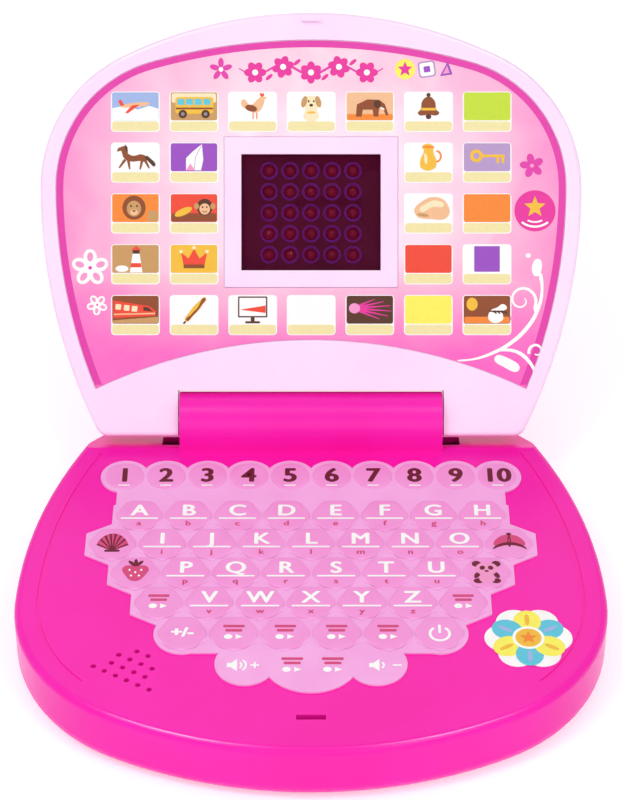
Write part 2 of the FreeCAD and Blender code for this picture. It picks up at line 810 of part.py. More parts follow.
def base_lower_shell():
    form = base_block("lower_form", "0", ("foot_proud", "split_height"))
    round_edges(form, "hull", "hull_radius", rim_at(sizes["foot_proud"]))
    hollow = base_block("lower_hollow", "case_wall", from_above(hull_floor, "split_height"))
    round_edges(hollow, "hull", "hull_radius - case_wall", rim_at(sizes["foot_proud"] + sizes["case_wall"]))
    shell = cut("lower_shell", form, [hollow])
    stalks, holes = battery_bay()
    for index, (x, y) in enumerate(case_screw_spots()):
        boss = ("foot_proud + case_wall / 2", "split_height")
        stalks.append(upright(f"lower_boss{index}", x, y, boss, "boss_radius"))
        head_room = from_below("foot_proud", case_screw_level)
        holes.append(upright(f"lower_head{index}", x, y, head_room, "screw_head_radius + head_play"))
        way = from_above(case_screw_level, "split_height")
        holes.append(upright(f"lower_way{index}", x, y, way, "screw_radius + head_play"))
    for index, (x, y) in enumerate(foot_spots()):
        seat = from_below("foot_proud", "foot_proud + foot_sunk")
        holes.append(upright(f"foot_seat{index}", x, y, seat, "foot_radius + screw_play"))
    return cut("base_lower_shell", fuse("lower_with_stalks", [shell] + stalks), holes)


def base_small_parts():
    screws = []
    for index, (x, y) in enumerate(case_screw_spots()):
        screws.append(screw(f"case_screw{index}", x, y, case_screw_level, "case_screw_length"))
    feet = []
    for index, (x, y) in enumerate(foot_spots()):
        feet.append(upright(f"foot{index}", x, y, ("0", "foot_proud + foot_sunk"), "foot_radius"))
    return {"case_screws": group("case_screws", screws), "feet": group("feet", feet)}


def deck_sticker():
    # Beside the keypad's right end lobe
    x = f"({end_lobe_offset} + end_lobe_radius + sticker_gap + petal_ring + petal_radius)"
    y = f"({last_key_row} - sticker_drop)"
    film = ("deck_height", "deck_height + sticker_thickness")
    petals = [upright("sticker_heart", x, y, film, "petal_ring")]
    for petal in range(petal_count):
        turn = petal * 360 / petal_count
        petal_x = f"{x} + petal_ring * cos({turn})"
        petal_y = f"{y} + petal_ring * sin({turn})"
        petals.append(upright(f"sticker_petal{petal}", petal_x, petal_y, film, "petal_radius"))
    return fuse("deck_sticker", petals)


def electronics():
    x = ("board_left", "board_left + board_length")
    y = ("board_front", "board_front + board_width")
    plate = box("board_plate", x, y, (board_under, board_top))
    ways = []
    screws = []
    for index, (px, py) in enumerate(board_places()):
        ways.append(upright(f"board_way{index}", px, py, through(board_under, board_top), small_way))
        screws.append(screw(f"board_screw{index}", px, py, board_under, "small_screw_length", "small_screw"))
    connector_x = around(board_middle, "tail_width / 2 + connector_lap")
    connector_y = around(tail_row, "connector_width / 2")
    connector = box("film_connector", connector_x, connector_y, (board_top, connector_top))
    chip_row = "board_front + board_width / 2"
    chip_z = (f"{board_under} - chip_height", board_under)
    chip = taper("sound_chip", board_middle, chip_row, chip_z, "chip_top_radius", "chip_radius")
    cans = []
    for index in range(capacitor_count):
        px = "board_left + board_length - 4 * board_post_inset"
        py = f"board_front + 3 * board_post_inset + {index} * 3 * capacitor_radius"
        can_z = (f"{board_under} - capacitor_height", board_under)
        cans.append(upright(f"capacitor{index}", px, py, can_z, "capacitor_radius"))
    return {
        "main_board": cut("main_board", plate, ways),
        "board_screws": group("board_screws", screws),
        "film_connector": piece_of(connector),
        "sound_chip": piece_of(chip),
        "capacitors": group("capacitors", cans),
    }


def speaker():
    spot = (speaker_x, "-speaker_row")
    bottom = f"({speaker_low} - basket_depth)"
    mouth = "(speaker_radius - flange_width)"
    flange = upright("basket_flange", *spot, (speaker_low, deck_under), "speaker_radius")
    bowl_foot = "magnet_radius + basket_wall"
    outer = taper("basket_outer", *spot, (bottom, speaker_low), bowl_foot, f"{mouth} + basket_wall")
    inner = taper("basket_inner", *spot, (f"{bottom} + basket_wall", speaker_low), "magnet_radius", mouth)
    throat = upright("basket_throat", *spot, from_above(f"{speaker_low} - basket_lap", deck_under), mouth)
    basket = cut("speaker_basket", fuse("basket_solid", [flange, outer]), [inner, throat])
    magnet = upright("speaker_magnet", *spot, (f"{bottom} - magnet_height", bottom), "magnet_radius")
    paper_low = f"({bottom} + 2 * basket_wall)"
    rim = f"{mouth} - paper_play"
    under = taper("paper_under", *spot, (paper_low, speaker_low), "paper_throat", rim)
    over_z = (f"{paper_low} + paper_thickness", f"{speaker_low} + paper_thickness")
    over = taper("paper_over", *spot, over_z, "paper_throat", rim)
    screws = []
    for index, (x, y) in enumerate(speaker_screw_places()):
        name = f"speaker_screw{index}"
        screws.append(screw(name, x, y, speaker_low, "speaker_screw_length", "small_screw"))
    return {
        "speaker_basket": basket,
        "speaker_magnet": piece_of(magnet),
        "speaker_cone": cut("speaker_cone", under, [over]),
        "speaker_screws": group("speaker_screws", screws),
    }


def ordered(side, near, far):
    # A span along x that starts at its left end
    return (near, far) if side > 0 else (far, near)


def batteries():
    cells = []
    contacts = []
    inside = f"{bay_length} / 2"
    for index in range(cell_count):
        side = 1 if index % 2 else -1
        row = f"(-bay_row + {index - (cell_count - 1) / 2} * cell_pitch)"
        blunt = f"(bay_right - {side} * ({inside} - contact_room))"
        neck = f"({blunt} + {side} * cell_length)"
        tip = f"({neck} + {side} * cell_nub)"
        can = crosswise(f"cell_can{index}", ordered(side, blunt, neck), row, cell_level, "cell_radius")
        nub = crosswise(f"cell_nub{index}", ordered(side, neck, tip), row, cell_level, "cell_nub_radius")
        cells.append(fuse(f"cell{index}", [can, nub]))
        for end in sides:
            name = f"contact{index}_{end + 1}"
            wall = f"(bay_right + {end} * {inside})"
            face = f"({wall} - {end} * contact_plate)"
            stop = f"({wall} - {end} * contact_room)"
            square = (around(row, "contact_half"), around(cell_level, "contact_half"))
            plate = box(name + "_plate", ordered(end, face, wall), *square)
            bump = crosswise(name + "_bump", ordered(end, stop, face), row, cell_level, "cell_nub_radius")
            contacts.append(fuse(name, [plate, bump]))
    return {
        "battery_cells": group("battery_cells", cells),
        "battery_contacts": group("battery_contacts", contacts),
    }


def battery_door():
    middle = "bay_right"
    tower = (middle, door_screw_row)
    hook_low = f"({hull_floor} + bay_play)"
    hook_top = f"{hook_low} + tab_thickness"
    pieces = [
        box("door_plate", around(middle, door_half), (door_front, door_rear), ("foot_proud", door_top)),
        upright("door_boss", *tower, ("foot_proud", door_boss_top), "door_boss_radius"),
    ]
    for side in sides:
        x = around(f"{middle} + {side} * tab_offset", "tab_width / 2")
        stem_y = (f"{door_rear} - tab_stem", door_rear)
        hook_y = (f"{door_rear} - tab_stem", f"{door_rear} + tab_reach")
        pieces.append(box(f"tab_stem{side + 1}", x, stem_y, ("foot_proud", hook_top)))
        pieces.append(box(f"tab_hook{side + 1}", x, hook_y, (hook_low, hook_top)))
    seat = f"({door_boss_top} - door_screw_grip)"
    holes = [
        upright("door_head_room", *tower, from_below("foot_proud", seat), "screw_head_radius + head_play"),
        upright("door_way", *tower, from_above(seat, door_boss_top), "screw_radius + screw_play"),
    ]
    return {
        "battery_door": cut("battery_door", fuse("door_solid", pieces), holes),
        "battery_door_screw": screw("battery_door_screw", *tower, seat, "door_screw_length"),
    }


def lid_card_shape(name, play, z):
    shape = shield_block(name + "_form", card_plan(play), z)
    arch_row = f"card_arch_top - card_arch_radius - {play}"
    arch = upright(name + "_arch", "0", arch_row, through(*z), "card_arch_radius")
    return cut(name, shape, [arch])


def display_box(name, grow, z):
    x = around("0", f"window_width / 2 + {grow}")
    return box(name, x, around("display_level", f"window_height / 2 + {grow}"), z)


def display_posts():
    reach = "(window_lap + post_margin)"
    for x in sides:
        for y in sides:
            up = f"display_level + {y} * (window_height / 2 + {reach})"
            yield f"{x} * (window_width / 2 + {reach})", up


def cradle(name, z):
    # The block in each leg that holds half of the hinge pin
    y = ("-lid_tail + lid_wall / 2", "cradle_half")
    blocks = []
    for side in sides:
        x = ordered(side, f"{side} * ({notch_half})", f"{side} * {pin_end}")
        blocks.append(box(f"{name}{side + 1}", x, y, z))
    return blocks


def pin_way(name):
    return crosswise(name, around("0", f"{pin_end} + 1"), "0", "0", "pin_radius + pin_play")


def lid_front_frame():
    form = lid_block("front_form", "0", (lid_parting, lid_face))
    round_edges(form, "rim", "lid_front_radius", rim_at(sizes["hinge_lift"] - sizes["lid_gap"]))
    room = lid_block("front_room", "lid_wall", from_below(lid_parting, plate_under))
    plate_end = f"{plate_under} + 1"
    stalks = cradle("front_cradle", (lid_parting, plate_end))
    holes = [
        lid_card_shape("card_seat", "card_play", from_above(card_floor, lid_face)),
        display_box("collar_opening", "collar + screw_play", through(plate_under, lid_face)),
        pin_way("front_pin_way"),
    ]
    for index, (x, y) in enumerate(lid_screw_spots()):
        stalks.append(upright(f"front_boss{index}", x, y, (lid_parting, plate_end), "boss_radius"))
        span = from_below(lid_parting, f"{lid_screw_level} + lid_screw_length + pilot_room")
        holes.append(upright(f"front_pilot{index}", x, y, span, "screw_radius + screw_play"))
    for index, (x, y) in enumerate(display_posts()):
        stalks.append(upright(f"led_post{index}", x, y, (led_board_top, plate_end), "post_radius"))
        span = from_below(led_board_top, f"{led_board_top} + small_screw_length")
        holes.append(upright(f"led_pilot{index}", x, y, span, "small_screw_radius + screw_play"))
    hook_y = around("(lid_reach - hook_from_top)", "hook_thickness / 2")
    hook_z = from_below(lid_face, f"{lid_face} + hook_length")
    hook = box("latch_hook", around("0", "hook_width / 2"), hook_y, hook_z)
    shell = cut("front_shell", form, [room])
    return cut("lid_front_frame", fuse("front_with_stalks", [shell, hook] + stalks), holes)


def lid_back_shell():
    form = lid_block("back_form", "0", (lid_back, lid_parting))
    back = sizes["hinge_lift"] - sizes["lid_gap"] - sizes["lid_thickness"]
    round_edges(form, "rim", "lid_back_radius", rim_at(back))
    room = lid_block("back_room", "lid_wall", from_above(back_inside, lid_parting))
    round_edges(room, "rim", "lid_back_radius - lid_wall", rim_at(back + sizes["lid_wall"]))
    shell = cut("back_shell", form, [room])
    stalks = cradle("back_cradle", from_below(back_inside, lid_parting))
    holes = [pin_way("back_pin_way")]
    for index, (x, y) in enumerate(lid_screw_spots()):
        stalks.append(upright(f"back_boss{index}", x, y, from_below(back_inside, lid_parting), "boss_radius"))
        head_room = from_below(lid_back, lid_screw_level)
        holes.append(upright(f"back_head{index}", x, y, head_room, "screw_head_radius + head_play"))
        way = from_above(lid_screw_level, lid_parting)
        holes.append(upright(f"back_way{index}", x, y, way, "screw_radius + head_play"))
    return cut("lid_back_shell", fuse("back_with_stalks", [shell] + stalks), holes)


def display_front():
    ring = display_box("surround_ring", "surround", (card_floor, lid_face))
    neck = display_box("surround_neck", "collar", (plate_under, lid_face))
    opening = display_box("surround_way", "0", through(plate_under, lid_face))
    sheet_form = lid_card_shape("card_sheet", "0", (card_floor, f"{card_floor} + card_thickness"))
    card_way = display_box("card_way", "surround + card_play", through(card_floor, lid_face))
    return {
        "display_surround": cut("display_surround", fuse("surround_solid", [ring, neck]), [opening]),
        "picture_card": cut("picture_card", sheet_form, [card_way]),
        "display_window": piece_of(display_box("display_window", "window_lap", (window_back, plate_under))),
    }


def led_places():
    middle = (led_count - 1) / 2
    for row in range(led_count):
        for column in range(led_count):
            y = f"display_level + {row - middle} * led_pitch"
            yield f"led{row}{column}", f"{column - middle} * led_pitch", y


def display_lamps():
    mask_span = (f"{window_back} - mask_thickness", window_back)
    board_span = (f"{led_board_top} - board_thickness", led_board_top)
    mask_plate = display_box("mask_plate", "window_lap", mask_span)
    board = display_box("led_plate", "window_lap + post_margin + post_radius + led_board_lap", board_span)
    eyes = []
    leds = []
    for name, x, y in led_places():
        eyes.append(upright(name + "_eye", x, y, through(*mask_span), "mask_hole_radius"))
        flange_z = (led_board_top, f"{led_board_top} + led_flange")
        flange = upright(name + "_flange", x, y, flange_z, "led_flange_radius")
        stem = upright(name + "_stem", x, y, (led_board_top, f"{led_top} - led_radius"), "led_radius")
        dome = doc.addObject("Part::Sphere", name + "_dome")
        bind(dome, Radius="led_radius")
        set_at(dome, x, y, f"{led_top} - led_radius")
        leds.append(fuse(name, [flange, stem, dome]))
    ways = []
    screws = []
    for index, (x, y) in enumerate(display_posts()):
        ways.append(upright(f"led_way{index}", x, y, through(*board_span), small_way))
        screws.append(screw(f"led_screw{index}", x, y, board_span[0], "small_screw_length", "small_screw"))
    return {
        "light_mask": cut("light_mask", mask_plate, eyes),
        "leds": group("leds", leds),
        "led_board": cut("led_board", board, ways),
        "led_board_screws": group("led_board_screws", screws),
    }


def hinge_pins():
    left = crosswise("left_hinge_pin", (f"-{pin_end}", f"-{pin_start}"), "0", "0", "pin_radius")
    tube = crosswise("bush_tube", (pin_start, pin_end), "0", "0", "pin_radius")
    bore = crosswise("bush_bore_way", through(pin_start, pin_end), "0", "0", "bush_bore")
    return {"left_hinge_pin": piece_of(left), "right_hinge_bush": cut("right_hinge_bush", tube, [bore])}


def lid_screws():
    screws = []
    for index, (x, y) in enumerate(lid_screw_spots()):
        screws.append(screw(f"lid_screw{index}", x, y, lid_screw_level, "lid_screw_length"))
    return group("lid_screws", screws)


base_pieces = {
    "base_upper_shell": base_upper_shell(),
    "base_lower_shell": base_lower_shell(),
    "keypad_sheet": keypad_sheet(),
    "deck_sticker": deck_sticker(),
    **keypad_films(),
    **base_small_parts(),
    **electronics(),
    **speaker(),
    **batteries(),
    **battery_door(),
}
lid_pieces = {
    "lid_front_frame": lid_front_frame(),
    "lid_back_shell": lid_back_shell(),
    "lid_screws": lid_screws(),
    **display_front(),
    **display_lamps(),
    **hinge_pins(),
}
doc.recompute()

# The lid is turned open about the hinge axis, and the origin lies under the middle of the whole.
hinge_height = sizes["deck_height"] + sizes["hinge_lift"]
opened = Placement(Vector(0, 0, hinge_height), Rotation(Vector(1, 0, 0), 90 - sizes["lid_lean"]))
for piece in lid_pieces.values():
    piece.Placement = opened.multiply(piece.Placement)
doc.recompute()
limits = [piece.Shape.optimalBoundingBox() for piece in {**base_pieces, **lid_pieces}.values()]
shift = -(min(limit.YMin for limit in limits) + max(limit.YMax for limit in limits)) / 2
for piece in {**base_pieces, **lid_pieces}.values():
    piece.Placement = Placement(Vector(0, shift, 0), Rotation()).multiply(piece.Placement)
doc.recompute()

failed = [thing.Name for thing in doc.Objects if {"Invalid", "Error"} & set(thing.State)]
if failed:
    raise RuntimeError(f"failed to build: {failed}")
for name, piece in {**base_pieces, **lid_pieces}.items():
    piece.Label = name
    if piece.Shape.isNull() or not piece.Shape.isValid():
        raise RuntimeError(f"bad shape: {name}")
    piece.Shape.exportStep(f"parts/{name}.step")
    print(f"{name}: {len(piece.Shape.Solids)} solids, {piece.Shape.Volume:.0f} mm3")
print(f"hinge axis at y {shift:.4f}, z {hinge_height:.4f}")
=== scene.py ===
import bpy
import json
import math
from mathutils import Matrix, Vector


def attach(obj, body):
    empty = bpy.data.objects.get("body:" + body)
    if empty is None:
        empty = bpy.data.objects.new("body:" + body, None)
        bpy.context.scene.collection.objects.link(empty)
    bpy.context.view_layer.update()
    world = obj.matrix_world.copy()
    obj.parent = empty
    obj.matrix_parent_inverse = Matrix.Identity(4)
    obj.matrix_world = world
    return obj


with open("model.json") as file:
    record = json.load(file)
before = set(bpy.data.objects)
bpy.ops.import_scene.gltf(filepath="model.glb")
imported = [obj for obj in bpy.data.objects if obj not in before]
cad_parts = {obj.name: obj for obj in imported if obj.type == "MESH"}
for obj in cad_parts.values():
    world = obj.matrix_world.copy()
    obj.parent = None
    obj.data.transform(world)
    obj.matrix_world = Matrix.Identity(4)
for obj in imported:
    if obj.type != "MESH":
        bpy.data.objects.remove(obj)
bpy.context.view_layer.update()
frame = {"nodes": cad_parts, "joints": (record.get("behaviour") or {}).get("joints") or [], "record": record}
nodes = frame["nodes"]
lidJoint = next(joint for joint in frame["joints"] if joint["name"] == "lid_hinge")
hingeSpot = Vector(lidJoint["pos_m"])
lidRise = math.radians(52)  # the lid's picture side, up from lying flat
mm = 0.001

# Pieces are drawn in millimetres from the hinge axis and then put in place:
# y runs to the rear on the base and up the lid on the lid.
basePlace = Matrix.Translation((0, hingeSpot.y, 0)) @ Matrix.Scale(mm, 4)
lidPlace = Matrix.Translation(hingeSpot) @ Matrix.Rotation(lidRise, 4, "X") @ Matrix.Scale(mm, 4)
print("frame loaded,", len(nodes), "nodes")


def hexColor(text):
    channels = [int(text[i:i + 2], 16) / 255 for i in (1, 3, 5)]
    linear = [c / 12.92 if c <= 0.04045 else ((c + 0.055) / 1.055) ** 2.4 for c in channels]
    return (*linear, 1.0)


def addNode(tree, kind, values=None, links=None, stops=None, **settings):
    node = tree.nodes.new(kind)
    for key, value in settings.items():
        setattr(node, key, value)
    for key, value in (values or {}).items():
        node.inputs[key].default_value = value
    for key, output in (links or {}).items():
        tree.links.new(output, node.inputs[key])
    if stops:  # a colour ramp's places and hex colours
        while len(node.color_ramp.elements) < len(stops):
            node.color_ramp.elements.new(0.5)
        for element, (place, colour) in zip(node.color_ramp.elements, stops):
            element.position = place
            element.color = hexColor(colour)
    return node


def startFinish(name, **values):
    finish = bpy.data.materials.new(name)
    finish.use_nodes = True
    tree = finish.node_tree
    shader = tree.nodes["Principled BSDF"]
    for key, value in values.items():
        shader.inputs[key.replace("_", " ")].default_value = value
    spot = addNode(tree, "ShaderNodeTexCoord").outputs["Object"]
    return finish, tree, shader, spot


def perMm(size):
    return 1 / (size * mm)  # texture scale for a pattern of this size in millimetres


grainDepth = 0.2 * mm


def mouldedSkin(name, colours, gloss, cloud, grain, bump, **values):
    # Two near tints clouded by the melt's flow, and a fine grain that also varies the gloss
    finish, tree, shader, spot = startFinish(name, **values)
    flow = addNode(tree, "ShaderNodeTexNoise", {"Scale": perMm(cloud), "Detail": 3}, {"Vector": spot})
    tint = addNode(tree, "ShaderNodeValToRGB", links={"Fac": flow.outputs["Fac"]},
                   stops=[(0.35, colours[0]), (0.65, colours[1])])
    skin = addNode(tree, "ShaderNodeTexNoise", {"Scale": perMm(grain), "Detail": 2}, {"Vector": spot})
    rough = addNode(tree, "ShaderNodeMapRange", {"To Min": gloss[0], "To Max": gloss[1]},
                    {"Value": skin.outputs["Fac"]})
    relief = addNode(tree, "ShaderNodeBump", {"Strength": bump, "Distance": grainDepth},
                     {"Height": skin.outputs["Fac"]})
    tree.links.new(tint.outputs["Color"], shader.inputs["Base Color"])
    tree.links.new(rough.outputs["Result"], shader.inputs["Roughness"])
    tree.links.new(relief.outputs["Normal"], shader.inputs["Normal"])
    return finish


# Moulded ABS: a hard glossy skin, its colour all through, with a faint ripple that softens highlights
hotPinkAbs = mouldedSkin("hotPinkAbs", ("#FB1CB4", "#F816AC"), (0.2, 0.26), 45, 9, 0.003,
                         IOR=1.53, Specular_IOR_Level=0.18)
palePinkAbs = mouldedSkin("palePinkAbs", ("#FDE1FC", "#FBDAF9"), (0.26, 0.36), 45, 9, 0.005,
                          IOR=1.53, Specular_IOR_Level=0.3)
# Soft PVC: satin and cloudy, the flat sheet a little paler than the raised keys
softSheet = mouldedSkin("softSheetPvc", ("#F7AFE7", "#F5A5E1"), (0.4, 0.55), 18, 1.2, 0.06,
                        IOR=1.52, Specular_IOR_Level=0.3)
softKeys = mouldedSkin("softKeyPvc", ("#F59ADC", "#F392D6"), (0.34, 0.48), 16, 1.2, 0.06,
                       IOR=1.52, Specular_IOR_Level=0.3)
# Polyester film: pale grey, smooth and shiny
switchFilm = mouldedSkin("polyesterFilm", ("#D8DCDA", "#C9CFCC"), (0.15, 0.25), 20, 4, 0.02, IOR=1.6)
# Metals: bright greys with a blotchy plating
platedSteel = mouldedSkin("zincPlatedSteel", ("#C9CDD3", "#AEB4BC"), (0.24, 0.42), 3, 0.5, 0.1, Metallic=1.0)
pressedSteel = mouldedSkin("pressedSteelSheet", ("#B9BCC0", "#9DA1A6"), (0.3, 0.5), 6, 0.8, 0.12,
                           Metallic=1.0)
springMetal = mouldedSkin("nickelSpringStrip", ("#D6D2C6", "#C2BDAF"), (0.22, 0.38), 4, 0.6, 0.08,
                          Metallic=1.0)
# Rubber: matt, dark, with a dusty bloom
footRubber = mouldedSkin("mouldedRubber", ("#4A4448", "#3B363A"), (0.7, 0.9), 5, 0.6, 0.25, IOR=1.5)
# Coated paper: smooth white with a soft shine
stickerPaper = mouldedSkin("coatedPaper", ("#FFFDFB", "#F6F3F2"), (0.3, 0.42), 12, 0.8, 0.05, IOR=1.5)
# Phenolic board: tan, with a fibrous mottling
circuitBoard = mouldedSkin("phenolicBoard", ("#B98A4E", "#A57740"), (0.45, 0.65), 5, 0.7, 0.1, IOR=1.55)
# Small inner pieces: nylon, resin, sleeves, ferrite, card and print, each with its usual sheen
ivoryNylon = mouldedSkin("ivoryNylon", ("#EFE8D6", "#E4DCC6"), (0.4, 0.55), 10, 1, 0.06, IOR=1.53)
blackResin = mouldedSkin("epoxyBlob", ("#17161A", "#212026"), (0.18, 0.32), 4, 1, 0.15, IOR=1.55)
capSleeve = mouldedSkin("shrinkSleeve", ("#23395F", "#1B2E50"), (0.25, 0.4), 6, 1, 0.05, IOR=1.53)
ferrite = mouldedSkin("sinteredFerrite", ("#38373A", "#2B2A2D"), (0.6, 0.8), 3, 0.5, 0.2, IOR=1.8)
coneCard = mouldedSkin("pressedPaperCone", ("#4C4846", "#3A3735"), (0.75, 0.92), 3, 0.5, 0.4, IOR=1.45)
cellWrap = mouldedSkin("printedCellWrap", ("#2E8F5B", "#257A4D"), (0.25, 0.4), 12, 2, 0.04, IOR=1.53)
# Display: a dull dark mask and clear-skinned red lenses
maskPlastic = mouldedSkin("darkMaskPlastic", ("#4A0A30", "#420829"), (0.35, 0.5), 10, 1.2, 0.08,
                          IOR=1.5, Specular_IOR_Level=0.1)
redLens = mouldedSkin("redLedLens", ("#D81E28", "#C41824"), (0.12, 0.22), 4, 1, 0.03,
                      IOR=1.5, Specular_IOR_Level=0.3)
# Tinted acrylic: a polished dark red pane that lets the lamps behind it show faintly
darkAcrylic = mouldedSkin("tintedAcrylic", ("#640832", "#5A072D"), (0.04, 0.1), 25, 6, 0.02,
                          IOR=1.49, Alpha=0.42, Specular_IOR_Level=0.03)

# The card's tint: heights up the lid in metres, shares of paleness, and the colours from deep to pale
cardTint = {
    "footHeights": (0.028, 0.07), "footShare": 0.05, "crownHeights": (0.11, 0.163), "crownShare": 0.72,
    "flankFall": -60.4, "cloud": 38, "cloudShare": 0.2,
    "stops": [(0, "#FA58BE"), (0.3, "#F88AC6"), (0.6, "#FBB4D4"), (0.8, "#FAD0E2"), (1, "#FBE8F5")],
}


def cardInk():
    # Offset print on card: pale at the crown, deeper to the foot and flanks, with drifting clouds
    finish, tree, shader, spot = startFinish("offsetPrintedCard", IOR=1.5, Roughness=0.38)
    back = Matrix.Rotation(-lidRise, 3, "X") @ -hingeSpot
    lid = addNode(tree, "ShaderNodeMapping", {"Rotation": (-lidRise, 0, 0), "Location": back},
                  {"Vector": spot})
    axes = addNode(tree, "ShaderNodeSeparateXYZ", links={"Vector": lid.outputs["Vector"]})
    low, high = cardTint["footHeights"]
    rise = addNode(tree, "ShaderNodeMapRange",
                   {"From Min": low, "From Max": high, "To Min": cardTint["footShare"]},
                   {"Value": axes.outputs["Y"]})
    low, high = cardTint["crownHeights"]
    crown = addNode(tree, "ShaderNodeMapRange",
                    {"From Min": low, "From Max": high, "To Min": 1.0, "To Max": cardTint["crownShare"]},
                    {"Value": axes.outputs["Y"]})
    height = addNode(tree, "ShaderNodeMath", links={0: rise.outputs["Result"], 1: crown.outputs["Result"]},
                     operation="MULTIPLY")
    square = addNode(tree, "ShaderNodeMath", {1: 2.0}, {0: axes.outputs["X"]}, operation="POWER")
    flank = addNode(tree, "ShaderNodeMath", {1: cardTint["flankFall"], 2: 1.0}, {0: square.outputs[0]},
                    operation="MULTIPLY_ADD")
    cloud = addNode(tree, "ShaderNodeTexNoise",
                    {"Scale": perMm(cardTint["cloud"]), "Detail": 3, "Distortion": 1.2},
                    {"Vector": lid.outputs["Vector"]})
    drift = addNode(tree, "ShaderNodeMapRange",
                    {"To Min": -cardTint["cloudShare"], "To Max": cardTint["cloudShare"]},
                    {"Value": cloud.outputs["Fac"]})
    shade = addNode(tree, "ShaderNodeMath", operation="MULTIPLY_ADD",
                    links={0: height.outputs[0], 1: flank.outputs[0], 2: drift.outputs["Result"]})
    tone = addNode(tree, "ShaderNodeValToRGB", links={"Fac": shade.outputs[0]}, stops=cardTint["stops"])
    tree.links.new(tone.outputs["Color"], shader.inputs["Base Color"])
    return finish


printedCard = cardInk()
nodeFinishes = {
    "hot_pink": hotPinkAbs, "pale_pink": palePinkAbs, "keypad_pink": softSheet, "film": switchFilm,
    "screw_steel": platedSteel, "foot_rubber": footRubber, "sticker_paper": stickerPaper,
    "circuit_board": circuitBoard, "ivory_plastic": ivoryNylon, "black_resin": blackResin,
    "capacitor_sleeve": capSleeve, "pressed_steel": pressedSteel, "magnet": ferrite,
    "speaker_paper": coneCard, "cell_wrap": cellWrap, "contact_metal": springMetal,
    "card_print": printedCard, "dark_window": darkAcrylic, "mask_plastic": maskPlastic, "red_led": redLens,
}
for subpart in frame["record"]["subparts"]:
    slots = nodes[subpart["node"]].data.materials
    slots.clear()
    slots.append(nodeFinishes[subpart["material_slot"]])
print("finishes on the solids done")

inkColours = {
    "white": "#FDFDFB", "caption": "#F0E4A8", "magenta": "#E8359E", "border": "#E240AA", "maroon": "#6A0A26",
    "markRed": "#D8487E", "blush": "#F39ACB", "lilac": "#B79AC9", "violet": "#9A4FC0", "sky": "#9FB6E4",
    "aqua": "#5FC6DC", "grey": "#8C8A90", "cream": "#F6E7BE", "yellow": "#FBF160", "gold": "#F2BE3C",
    "orange": "#F58A35", "tan": "#C99A62", "brown": "#8E4A28", "umber": "#55301F", "red": "#EE4A36",
    "lime": "#C4DE3A", "peach": "#F2BE92",
}


def printedInk(name, colour):
    # Screen ink: an even film with a slight mottle from the mesh, drawn coarser than real so it shows
    finish, tree, shader, spot = startFinish(name + "Ink", IOR=1.5, Specular_IOR_Level=0.2)
    mesh = addNode(tree, "ShaderNodeTexNoise", {"Scale": perMm(1.6), "Detail": 1}, {"Vector": spot})
    fade = addNode(tree, "ShaderNodeHueSaturation", {"Color": hexColor(colour)})
    level = addNode(tree, "ShaderNodeMapRange", {"To Min": 0.95, "To Max": 1.03},
                    {"Value": mesh.outputs["Fac"]})
    rough = addNode(tree, "ShaderNodeMapRange", {"To Min": 0.3, "To Max": 0.46},
                    {"Value": mesh.outputs["Fac"]})
    tree.links.new(level.outputs["Result"], fade.inputs["Value"])
    tree.links.new(fade.outputs["Color"], shader.inputs["Base Color"])
    tree.links.new(rough.outputs["Result"], shader.inputs["Roughness"])
    return finish


inks = {name: printedInk(name, colour) for name, colour in inkColours.items()}
weldGap = 0.0004  # in a piece's own millimetres


def settle(piece, name, place, body):
    # A modelled piece gets clean faces, its place in its mesh and its body
    piece.name = name
    bpy.ops.object.transform_apply(location=True, rotation=True, scale=True)
    bpy.ops.object.mode_set(mode="EDIT")
    bpy.ops.mesh.select_all(action="SELECT")
    bpy.ops.mesh.remove_doubles(threshold=weldGap)
    bpy.ops.mesh.normals_make_consistent(inside=False)
    bpy.ops.object.mode_set(mode="OBJECT")
    piece.matrix_world = place
    bpy.ops.object.transform_apply(location=True, rotation=True, scale=True)
    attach(piece, body)
    return piece


def turned(x, y, across, up, turn):
    lean = math.radians(turn)
    return (x + across * math.cos(lean) - up * math.sin(lean),
            y + across * math.sin(lean) + up * math.cos(lean))


def oval(x, y, rx, ry, turn=0, count=24):
    angles = [2 * math.pi * i / count for i in range(count)]
    return [turned(x, y, rx * math.cos(a), ry * math.sin(a), turn) for a in angles]


def panel(x, y, wide, high, corner, turn=0):
    # A block with round corners of five points each
    points = []
    for quarter, (sx, sy) in enumerate(((1, 1), (-1, 1), (-1, -1), (1, -1))):
        for step in range(5):
            angle = math.radians(90 * quarter + 22.5 * step)
            across = sx * (wide / 2 - corner) + corner * math.cos(angle)
            up = sy * (high / 2 - corner) + corner * math.sin(angle)
            points.append(turned(x, y, across, up, turn))
    return points


def stroke(points, start, end=None, middle=None):
    # A line of changing width through the points, as one closed outline
    end = start if end is None else end
    left, right = [], []
    for i, (x, y) in enumerate(points):
        ax, ay = points[max(i - 1, 0)]
        bx, by = points[min(i + 1, len(points) - 1)]
        run = math.hypot(bx - ax, by - ay)
        share = i / (len(points) - 1)
        wide = start + (end - start) * share
        if middle is not None:
            wide += (middle - (start + end) / 2) * math.sin(math.pi * share)
        nx, ny = -(by - ay) / run * wide / 2, (bx - ax) / run * wide / 2
        left.append((x + nx, y + ny))
        right.append((x - nx, y - ny))
    return left + right[::-1]


def arcPoints(x, y, radius, first, last, count=14):
    angles = [math.radians(first + (last - first) * i / (count - 1)) for i in range(count)]
    return [(x + radius * math.cos(a), y + radius * math.sin(a)) for a in angles]


def curl(x, y, radius, first, turns, tightness, count=26):
    # A spiral that winds in towards its centre
    points = []
    for i in range(count):
        share = i / (count - 1)
        angle = math.radians(first + 360 * turns * share)
        reach = radius * (1 - tightness * share)
        points.append((x + reach * math.cos(angle), y + reach * math.sin(angle)))
    return points


